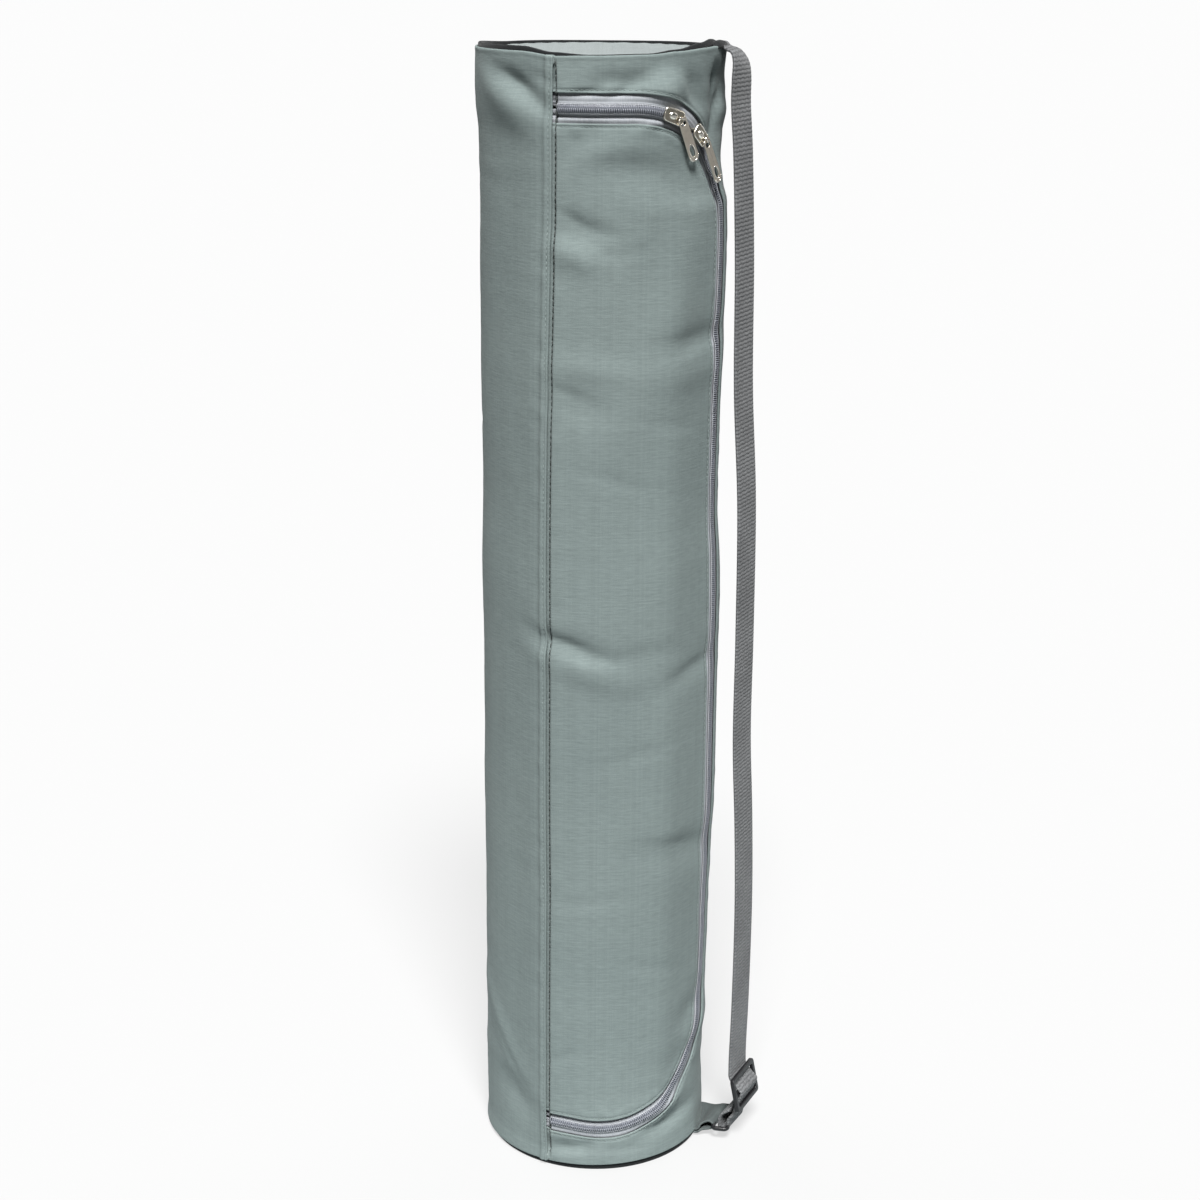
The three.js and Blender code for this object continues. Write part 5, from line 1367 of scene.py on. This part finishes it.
# The binding's tape goes over the strap's sewn end as a small cap, pointed at both ends
def buildRimCap():
    cap = {
        "middle": math.radians(77), "from": -18, "to": 15, "tall": 1.3, "low": 0.8, "parts": 45,
        "blunt": 2.6, "thinnest": 0.02, "endWidth": 0.3, "onWave": 0.6,
    }
    profile = np.array([
        (-6.0, -4.5), (-5.6, 1.0), (-4.4, 3.3), (-2.4, 4.1), (-0.2, 3.8), (1.2, 2.5), (1.8, 0.6),
        (1.2, 0.3), (0.4, 2.1), (-0.8, 3.1), (-2.4, 3.4), (-3.9, 2.5), (-4.8, 0.5), (-5.2, -4.5),
    ])
    middle = np.array([-4.6, -2.5])
    rows = []
    stops = np.linspace(cap["from"], cap["to"], cap["parts"])
    for t in stops:
        along = (t - cap["from"]) / (cap["to"] - cap["from"])
        full = math.sqrt(max(cap["thinnest"], 1 - abs(2 * along - 1) ** cap["blunt"]))
        wide = cap["endWidth"] + (1 - cap["endWidth"]) * full
        shape = middle + (profile - middle) * np.array([wide, full])
        rise = cap["tall"] + (cap["low"] - cap["tall"]) * along
        turn = (cap["middle"] + t / radius) / (2 * math.pi)
        reach = float(wallRadius(np.array(turn), np.array(1.0))) + shape[:, 0]
        capFoot = bag["height"] + cap["onWave"] * float(rimAt(turn, 1))
        rows.append(polar(np.full(len(shape), turn), reach, capFoot + shape[:, 1] * rise))
    points = np.concatenate(rows)
    places = crossed(np.arange(len(profile)) * 1.2, stops)
    return faceOut(toMesh("rimCap", points, tubeFaces(len(stops), len(profile)), places))


addPiece("rimCap", buildRimCap(), binding)


# The black band under the wall's hem round the base: a binding, and painted contact shadow where the bag
# meets the floor
def baseShadowBindingOuter(turn):
    return wallRadius(turn, np.zeros_like(turn)) - bag["wall"] - baseFit["gap"]


baseShadowBindingMesh = buildBinding("baseShadowBinding", baseShadowBindingOuter, baseFit["bindingWidth"],
                               lambda t: 0 * t, lambda t: baseFit["bindingHeight"] + 0 * t,
                               seeds["baseShadowBinding"])
addPiece("baseShadowBinding", baseShadowBindingMesh, binding, ("base_binding",))


def buildDisc(name, edgeAt, heightAt, rows):
    turn = np.arange(columns) / columns - 0.5
    centreHole = 0.004
    share = np.linspace(centreHole, 1, rows)[:, None]
    reach = share * edgeAt(turn)[None]
    height = heightAt(share, turn[None])
    points = polar(turn[None], reach, height).reshape(-1, 3)
    faces = gridFaces(rows, columns, loop=True) + [list(range(columns - 1, -1, -1))]
    return toMesh(name, points, faces, points[:, :2])


# Crowned, puckered along its edge, with one soft wave, and higher at the back
def topHeight(share, turn):
    form = {"puckers": 34, "uneven": 5, "puckerDepth": 0.16, "edgeOnly": 14, "wave": 0.35, "rear": 2.5}
    angle = turn * 2 * math.pi
    level = bag["height"] - topCover["sunk"] + topCover["crown"] * (1 - share * share)
    gathers = np.sin(angle * form["puckers"] + 2 * np.sin(angle * form["uneven"]))
    pucker = form["puckerDepth"] * gathers * share ** form["edgeOnly"]
    wave = form["wave"] * np.sin(angle * 2 + 1.1) * share ** 2 * (1 - share)
    rear = form["rear"] * smooth((np.abs(turn) - 0.2) / 0.16) * share ** 3
    return level + pucker + wave + rear


def topEdge(turn):
    return topBindingOuter(turn) - topBinding["width"] - topCover["gap"]


def baseEdge(turn):
    return baseShadowBindingOuter(turn) - baseFit["bindingWidth"] - baseFit["gap"]


def facing(mesh, upward):
    total = sum(face.normal.z * face.area for face in mesh.polygons)
    if (total > 0) != upward:
        mesh.flip_normals()
    return mesh


topPanelMesh = facing(buildDisc("topPanel", topEdge, topHeight, 34), True)
topPanel = addPiece("topPanel", topPanelMesh, coverClothWithTopLight, ("top_panel",))
thicken(topPanel, topCover["thickness"])
basePanelMesh = facing(buildDisc("basePanel", baseEdge, lambda share, turn: 0 * share * turn, 12), False)
basePanel = addPiece("basePanel", basePanelMesh, clothBelow, ("base_panel",))
thicken(basePanel, baseFit["cloth"])
print("bag: top and base ready")


# Strap, its slide, ring and tab

strapCut = {"width": 25, "thickness": 1.8, "sewnDepth": 9, "rib": 2.4, "ribDepth": 0.16, "step": 0.52}
strapLine = {"rimTurn": 80, "hangTurn": 77, "faceTurn": 62, "reach": 12}
strapTail = {"back": 2.3, "drop": 0.28}
selvedge = {"round": 0.42, "thick": 0.9}
slide = {
    "width": 33, "bar": 3.2, "thickness": 2.6, "arm": 3.2, "topLift": 45, "bars": 10.6, "lean": 11,
    "out": 2.6, "corner": 2.6, "windowCorner": 1.3, "ease": 0.6,
    "grips": 9, "gripHalf": 1.1, "gripFoot": 1.12, "gripTop": 1.26, "gripThick": 0.5,
}
ring = {
    "width": 33, "bar": 3, "reach": 9.6, "lift": 8.6, "arm": 3.2, "rise": -0.3, "inset": 4.0,
    "corner": 2.4,
}
tab = {
    "seamWidth": 36, "thickness": 1.4, "lift": 2, "layerGap": 0.5, "root": 3, "neck": 4, "pinch": 0.5,
    "slope": 1.4, "cutWider": 1.16,
}
clearance = 0.3

# rise, out, twist down the hanging stretch
strapWaves = [
    (0.96, 0.06, 1), (0.919, 0.074, 1), (0.83, 0.092, 1), (0.72, 0.103, 1), (0.62, 0.13, 1),
    (0.5, 0.138, 1), (0.4, 0.14, 0.95), (0.32, 0.158, 1), (0.24, 0.169, 1), (0.14, 0.168, 1),
]
# back, drop, twist past the rim, as shares of the strap's reach
strapShoulder = [(0.78, 0.2, 0.1), (0.42, 0.36, 0.3), (0.24, 0.78, 0.6), (0.22, 1.6, 0.9)]
# bar, clears, out, rise through the slide
slideThread = [
    (0, -1, -0.05, 0.66), (0, -1, 0, 0), (0.5, 0, -0.02, 0), (1, 1, 0, 0.06), (1, 1, 0, -0.06),
    (1.5, 0, 0.02, 0), (2, -1, 0, 0), (2, -1, -0.07, -0.57),
]
# degrees, out, rise round the ring
ringThread = [
    (0, 0.085, 0.57), (0, 0, 0.095), (45, 0, 0), (90, 0, 0), (135, 0, 0), (180, 0, 0.057),
    (180, 0.095, 0.755),
]

hangOut = radius + strapWaves[-1][1] * bag["diameter"]
lean = math.radians(slide["lean"])
slideBars = [
    (hangOut + slide["out"] + math.sin(lean) * slide["bars"] * i,
     slide["topLift"] - math.cos(lean) * slide["bars"] * i)
    for i in range(3)
]
ringOuter = (hangOut - ring["inset"], ring["lift"])
ringInner = (ringOuter[0] - ring["reach"], ring["lift"] + ring["rise"])


def strapRows():
    rimTurn = strapLine["rimTurn"] / 360
    wrap = bag["wall"] / 2 + clearance + strapCut["thickness"] / 2
    rimOut, rimRise = radius - bag["wall"] / 2, bag["height"] + float(rimAt(rimTurn, 1))
    rows = [(rimOut - wrap, rimRise - strapCut["sewnDepth"], 0)]
    for degrees in (0, 35, 65, 95):
        angle = math.radians(degrees)
        rows.append((rimOut - math.cos(angle) * wrap, rimRise + math.sin(angle) * wrap, 0))
    farOut, highest = rimOut + strapLine["reach"], rimRise + wrap
    for back, drop, twist in strapShoulder:
        rows.append((farOut - back * strapLine["reach"], highest - drop * strapLine["reach"], twist))
    for rise, out, twist in strapWaves:
        rows.append((radius + out * bag["diameter"], rise * bag["height"], twist))
    clear = slide["thickness"] / 2 + clearance * 2 + strapCut["thickness"] / 2
    top, low = slideBars[0], slideBars[2]
    for bar, clears, out, rise in slideThread:
        rows.append((
            top[0] + (low[0] - top[0]) * bar / 2 + clears * clear + out * slide["bars"],
            top[1] + (low[1] - top[1]) * bar / 2 + rise * slide["bars"], 1,
        ))
    wrap = ring["bar"] / 2 + clearance + strapCut["thickness"] / 2
    for degrees, out, rise in ringThread:
        angle = math.radians(degrees)
        rows.append((
            ringOuter[0] + math.cos(angle) * wrap + out * slide["bars"],
            ringOuter[1] - math.sin(angle) * wrap + rise * slide["bars"], 1,
        ))
    rows.append((low[0] - strapTail["back"] * clear, low[1] - strapTail["drop"] * slide["bars"], 1))
    return np.array(rows, float)


# A smooth line through chosen rows, even in its spacing (centripetal curve)
def smoothRows(rows, step):
    scale, parts = np.array([1, 1, 10]), 24
    work = rows * scale
    work = np.vstack([2 * work[0] - work[1], work, 2 * work[-1] - work[-2]])
    line = []
    for i in range(len(work) - 3):
        p0, p1, p2, p3 = work[i:i + 4]
        d0, d1, d2 = (max(np.sum((b - a) ** 2) ** 0.25, 1e-4) for a, b in ((p0, p1), (p1, p2), (p2, p3)))
        t1 = ((p1 - p0) / d0 - (p2 - p0) / (d0 + d1) + (p2 - p1) / d1) * d1
        t2 = ((p2 - p1) / d1 - (p3 - p1) / (d1 + d2) + (p3 - p2) / d2) * d1
        t = np.linspace(0, 1, parts, endpoint=False)[:, None]
        square = -3 * p1 + 3 * p2 - 2 * t1 - t2
        cube = 2 * p1 - 2 * p2 + t1 + t2
        line.append(p1 + t1 * t + square * t ** 2 + cube * t ** 3)
    line = np.vstack([*line, work[-2][None]]) / scale
    lengths = lengthsAlong(line[:, :2])
    even = np.arange(0, lengths[-1], step)
    return np.stack([np.interp(even, lengths, line[:, k]) for k in range(3)], axis=-1), even


def onStrap(out, rise, twist, across):
    turn, hang, face = (math.radians(strapLine[k]) for k in ("rimTurn", "hangTurn", "faceTurn"))
    bent = turn + across / radius
    reach = out - radius + wallRadius(bent / (2 * math.pi), np.ones_like(bent))
    share = smooth(twist)[..., None]
    curved = np.stack([np.sin(bent) * reach, -np.cos(bent) * reach], axis=-1)
    flat = np.stack([math.sin(hang) * out + math.cos(face) * across,
                     -math.cos(hang) * out + math.sin(face) * across], axis=-1)
    spot = curved + (flat - curved) * share
    return np.concatenate([spot, rise[..., None]], axis=-1)


# A ribbon along rows, with round selvedges; thickAt and halfAt may change along it
def buildRibbon(name, line, lengths, halfAt, thickAt, edgeThick, faceColumns):
    slope = np.gradient(line[:, :2], axis=0)
    slope /= np.linalg.norm(slope, axis=1, keepdims=True)
    normal = np.stack([slope[:, 1], -slope[:, 0]], axis=-1)
    flatShare = np.linspace(-1, 1, faceColumns)
    turns = np.radians([60, 20, -20, -60])
    across = np.concatenate([flatShare, 1 + 0 * turns, flatShare[::-1], -1 - 0 * turns])
    bulge = np.concatenate([0 * flatShare, np.cos(turns), 0 * flatShare, -np.cos(turns)])
    level = np.concatenate([1 + 0 * flatShare, np.sin(turns), -1 + 0 * flatShare, -np.sin(turns)])
    thick = thickAt(lengths)[:, None]
    half = (halfAt(lengths / lengths[-1]) - strapCut["thickness"] * selvedge["round"])[:, None]
    side = across[None] * half + bulge[None] * thick * selvedge["round"]
    onFace = (np.abs(level) > 0.99)[None]
    reach = level[None] * np.where(onFace, thick, edgeThick) / 2
    out = line[:, 0][:, None] + normal[:, 0][:, None] * reach
    rise = line[:, 1][:, None] + normal[:, 1][:, None] * reach
    twist = line[:, 2][:, None] + 0 * reach
    points = onStrap(out, rise, twist, side)
    otherFace = 60
    places = np.stack([side + (level < 0) * otherFace, lengths[:, None] + 0 * side], axis=-1)
    faces = tubeFaces(len(lengths), len(across))
    return faceOut(toMesh(name, points.reshape(-1, 3), faces, places.reshape(-1, 2)))


def ribbedThickness(lengths):
    hump = np.abs(np.sin(lengths / strapCut["rib"] * math.pi)) ** 0.7
    return strapCut["thickness"] - strapCut["ribDepth"] * 2 * (1 - hump)


strapMiddle, strapLengths = smoothRows(strapRows(), strapCut["step"])
strapMesh = buildRibbon("strapWebbing", strapMiddle, strapLengths,
                        lambda t: strapCut["width"] / 2 + 0 * t, ribbedThickness,
                        strapCut["thickness"] * selvedge["thick"], 9)
addPiece("strapWebbing", strapMesh, webbing, ("strap",))


def tabRows():
    wrap = ring["bar"] / 2 + clearance * 2 + tab["thickness"] / 2
    start = float(wallRadius(np.array(strapLine["rimTurn"] / 360), np.array(0.0))) + clearance * 2
    low = tab["lift"] + tab["thickness"] / 2
    high = low + tab["thickness"] + tab["layerGap"]

    def turned(degrees, drop=0.0, back=0.0):
        angle = math.radians(degrees)
        out = ringInner[0] + math.cos(angle) * wrap - back
        return out, ringInner[1] + math.sin(angle) * wrap - drop, 0.9 if back else 1

    return np.array([
        (start, low, 0), (start + tab["root"], low + clearance, 0.3),
        turned(-90, tab["pinch"], tab["neck"]),
        *[turned(degrees) for degrees in (-90, -45, 0, 45, 90)], turned(90, tab["slope"], tab["neck"]),
        (start + tab["root"], high + 1, 0.3), (start, high, 0),
    ], float)


tabMiddle, tabLengths = smoothRows(tabRows(), 0.6)


def tabHalf(t):
    return (tab["seamWidth"] + (strapCut["width"] - tab["seamWidth"]) * smooth(np.sin(t * math.pi))) / 2


tabMesh = buildRibbon("strapTab", tabMiddle, tabLengths, tabHalf, lambda s: tab["thickness"] + 0 * s,
                      tab["thickness"], 15)
strapTab = addPiece("strapTab", tabMesh, tabShadedCloth, ("strap_tab",))


# The frame of the slide or ring: across the strap, up along it, and out
def hardwareFrame(top, low):
    hang, face = math.radians(strapLine["hangTurn"]), math.radians(strapLine["faceTurn"])
    side = Vector((math.cos(face), math.sin(face), 0))
    ends = [Vector((math.sin(hang) * out, -math.cos(hang) * out, rise)) for out, rise in (top, low)]
    upward = (ends[0] - ends[1]).normalized()
    side = (side - upward * side.dot(upward)).normalized()
    out = side.cross(upward)
    return Matrix([(*row, 0) for row in zip(side, upward, out)]).to_3x3(), (ends[0] + ends[1]) / 2


def buildSlide():
    tall = 2 * slide["bars"] + slide["bar"]
    window = (slide["width"] - 2 * slide["arm"], slide["bars"] - slide["bar"])
    outlines = [roundedRectangle(slide["width"], tall, slide["corner"])]
    for side in (-1, 1):
        centre = (0, side * slide["bars"] / 2)
        outlines.append(roundedRectangle(*window, slide["windowCorner"], centre, backwards=True))
    parts = [platePart(outlines, slide["thickness"], slide["ease"])]
    for k in range(slide["grips"]):  # grip ribs over the middle bar
        x = (k - (slide["grips"] - 1) / 2) * window[0] / (slide["grips"] + 1)
        half, foot = slide["gripHalf"], slide["gripFoot"]
        rib = [(x, -half, foot), (x, 0, slide["gripTop"]), (x, half, foot)]
        parts.append(linePart(rib, slide["gripThick"]))
    return joinParts(parts)


def buildRing():
    tall = math.dist(ringOuter, ringInner)
    path = roundedRectangle(ring["width"] - ring["arm"], tall, ring["corner"], parts=6)
    return linePart([(x, y, 0) for x, y in path], ring["bar"], 12, closed=True)


slideMesh = placed("adjusterSlide", buildSlide(), *hardwareFrame(slideBars[0], slideBars[2]))
addPiece("adjusterSlide", slideMesh, plastic, ("adjuster",))
ringMesh = placed("strapRingBody", buildRing(), *hardwareFrame(ringInner, ringOuter))
addPiece("strapRingBody", ringMesh, plastic, ("strap_ring",))
print("bag: strap ready")


# Stitches

stitch = {"pitch": 3.2, "length": 2.5, "thick": 0.42, "rise": 0.02, "sink": 0.35}
stitchOver = {"hinge": 0.12, "zip": 0.1, "pucker": 0.35}
grooveStitch = {"pitch": 3.9, "length": 3.1, "thick": 1.0, "aside": 0.8, "lift": 0.35}


# One short bent thread at each spot; spots, ways and outs are arrays of the same length
def stitchParts(spots, ways, outs, length, thick):
    shares = np.array([-0.5, -0.34, 0, 0.34, 0.5])
    end, middle = -stitch["sink"], stitch["rise"]
    level = np.array([end, middle * 0.6, middle, middle * 0.6, end])
    size = np.array([0.55, 0.9, 1, 0.9, 0.55]) * thick / 2
    around = 6
    angles = ringAngles(around)
    sides = np.cross(ways, outs)
    along = ways[:, None, None] * (shares * length)[None, :, None, None]
    lift = outs[:, None, None] * (level[:, None] + size[:, None] * np.sin(angles)[None])[None, :, :, None]
    broad = sides[:, None, None] * (size[:, None] * np.cos(angles)[None])[None, :, :, None]
    points = spots[:, None, None] + along + lift + broad
    return points.reshape(-1, 3), tubeFaces(len(shares), around, copies=len(spots))


def alongLine(arc, height, lift, length=stitch["length"], thick=stitch["thick"]):
    spots = onWall(arc, height, lift)
    ways = np.gradient(spots, axis=0)
    ways /= np.linalg.norm(ways, axis=1, keepdims=True)
    angle = arc / radius
    outs = np.stack([np.sin(angle), -np.cos(angle), 0 * angle], axis=-1)
    outs -= ways * (outs * ways).sum(axis=1, keepdims=True)
    outs /= np.linalg.norm(outs, axis=1, keepdims=True)
    return stitchParts(spots, ways, outs, length, thick)


def hingeStitches():
    height = np.arange(6, bag["height"] - 4, stitch["pitch"])
    arc = np.full_like(height, hinge["arc"] - topstitch["inset"] + girth)
    lift = hinge["lapLift"] + topstitch["doubled"] - topstitch["dimple"] + stitchOver["hinge"]
    pucker = lapPucker(height, np.full_like(height, topstitch["inset"]))
    return alongLine(arc, height, lift + pucker * stitchOver["pucker"])


# The seam's own thread, deep in the groove beside the lap
def grooveStitches():
    height = np.arange(5, bag["height"] - 3, grooveStitch["pitch"])
    arc = np.full_like(height, hinge["arc"] + grooveStitch["aside"])
    return alongLine(arc, height, grooveStitch["lift"], grooveStitch["length"], grooveStitch["thick"])


def zipStitches(offset, start):
    line = zipLine(offset, start, 0.8)
    lengths = lengthsAlong(line)
    even = np.arange(2, lengths[-1] - 2, stitch["pitch"])
    arc, height = (np.interp(even, lengths, line[:, k]) for k in (0, 1))
    keep = arc > hinge["arc"] + 2
    arc, height = arc[keep], height[keep]
    _, way = fromZip(arc, height)
    push = footPush(height, topstitch["inset"], footZip["door"] if offset < 0 else -footZip["wall"])
    arc, height = arc + way[:, 0] * push, height + way[:, 1] * push
    return alongLine(arc, height, topstitch["doubled"] - topstitch["dimple"] + stitchOver["zip"])


for name, part, thread in (
    ("hingeStitches", hingeStitches(), clothThread),
    ("wallZipStitches", zipStitches(zipLay["wallShow"] + topstitch["inset"], hinge["arc"]), clothThread),
    ("doorZipStitches", zipStitches(-zipLay["doorShow"] - topstitch["inset"], hinge["arc"]), clothThread),
    ("grooveStitches", grooveStitches(), seamThread),
):
    addPiece(name, faceOut(toMesh(name, *part)), thread)
print("bag: stitches ready")


# Floor, light and camera

studio = {
    "fill": 0.1, "backdropSeen": 0.94, "floorSeen": 0.63, "poolNear": 0.78, "poolFar": 0.04,
    "poolFrom": 0.2, "poolTo": 0.95,
    "suns": {  # strength, height above the floor, turn towards +X from the front, spread
        "key": (2.95, 57, 4, 20), "rearLeft": (0.42, 22, -128, 60), "rearRight": (0.36, 24, 142, 60),
    },
}
floorMesh = bpy.data.meshes.new("floor")
floorReach = 60.0
corners = [(x * floorReach, y * floorReach, 0) for x, y in ((-1, -1), (1, -1), (1, 1), (-1, 1))]
floorMesh.from_pydata(corners, [], [(0, 1, 2, 3)])
paleFloor, tree, take = newFinish("paleFloor", {
    "Base Color": (0.12, 0.121, 0.122, 1), "Roughness": 0.9, "Specular IOR Level": 0.0,
})
rays = addNode(tree, "ShaderNodeLightPath").outputs["Is Camera Ray"]
# The floor round the bag throws the most light back up at it
away = addNode(tree, "ShaderNodeVectorMath", {0: pieceSpace(tree)}, operation="LENGTH").outputs["Value"]
tree.links.new(tint(tree, rays, (0.9, 1.02, 1.04, 1), (1.0, 1.0, 1.0, 1)), take["Emission Color"])
pool = ramped(tree, away, studio["poolFrom"], studio["poolTo"], studio["poolNear"], studio["poolFar"])
tree.links.new(blendOf(tree, rays, pool, studio["floorSeen"]), take["Emission Strength"])
floorMesh.materials.append(paleFloor)
floor = bpy.data.objects.new("floor", floorMesh)
bpy.context.scene.collection.objects.link(floor)

world = bpy.data.worlds.new("studio")
bpy.context.scene.world = world
world.use_nodes = True
tree = world.node_tree
backdrop = next(n for n in tree.nodes if n.type == "BACKGROUND")
rays = addNode(tree, "ShaderNodeLightPath").outputs["Is Camera Ray"]
backdrop.inputs["Color"].default_value = (0.96, 1.0, 1.02, 1)
tree.links.new(blendOf(tree, rays, studio["fill"], studio["backdropSeen"]), backdrop.inputs["Strength"])
for name, (strength, height, turn, spread) in studio["suns"].items():
    sun = bpy.data.lights.new(name, "SUN")
    sun.energy = strength * math.pi
    sun.angle = math.radians(spread)
    sun.color = (1.0, 0.992, 0.98)
    holder = bpy.data.objects.new(name, sun)
    holder.rotation_euler = (math.radians(90 - height), 0, math.radians(turn))
    bpy.context.scene.collection.objects.link(holder)

cameraFit = {
    "place": (0.0, -1.27309, 0.77280), "pitch": 0.310402, "yaw": -0.000365, "roll": 0.008163,
    "focalPixels": 2134.4, "framePixels": 1200, "sensor": 36,
}
camera = bpy.data.cameras.new("camera")
camera.sensor_width = cameraFit["sensor"]
camera.lens = cameraFit["focalPixels"] / cameraFit["framePixels"] * cameraFit["sensor"]
cameraHolder = bpy.data.objects.new("camera", camera)
aim = Euler((math.pi / 2 - cameraFit["pitch"], 0, cameraFit["yaw"])).to_matrix()
aim = aim @ Matrix.Rotation(cameraFit["roll"], 3, "Z")
cameraHolder.matrix_world = Matrix.Translation(cameraFit["place"]) @ aim.to_4x4()
bpy.context.scene.collection.objects.link(cameraHolder)
bpy.context.scene.camera = cameraHolder
bpy.context.scene.view_settings.view_transform = "Standard"
print("bag: stage ready")
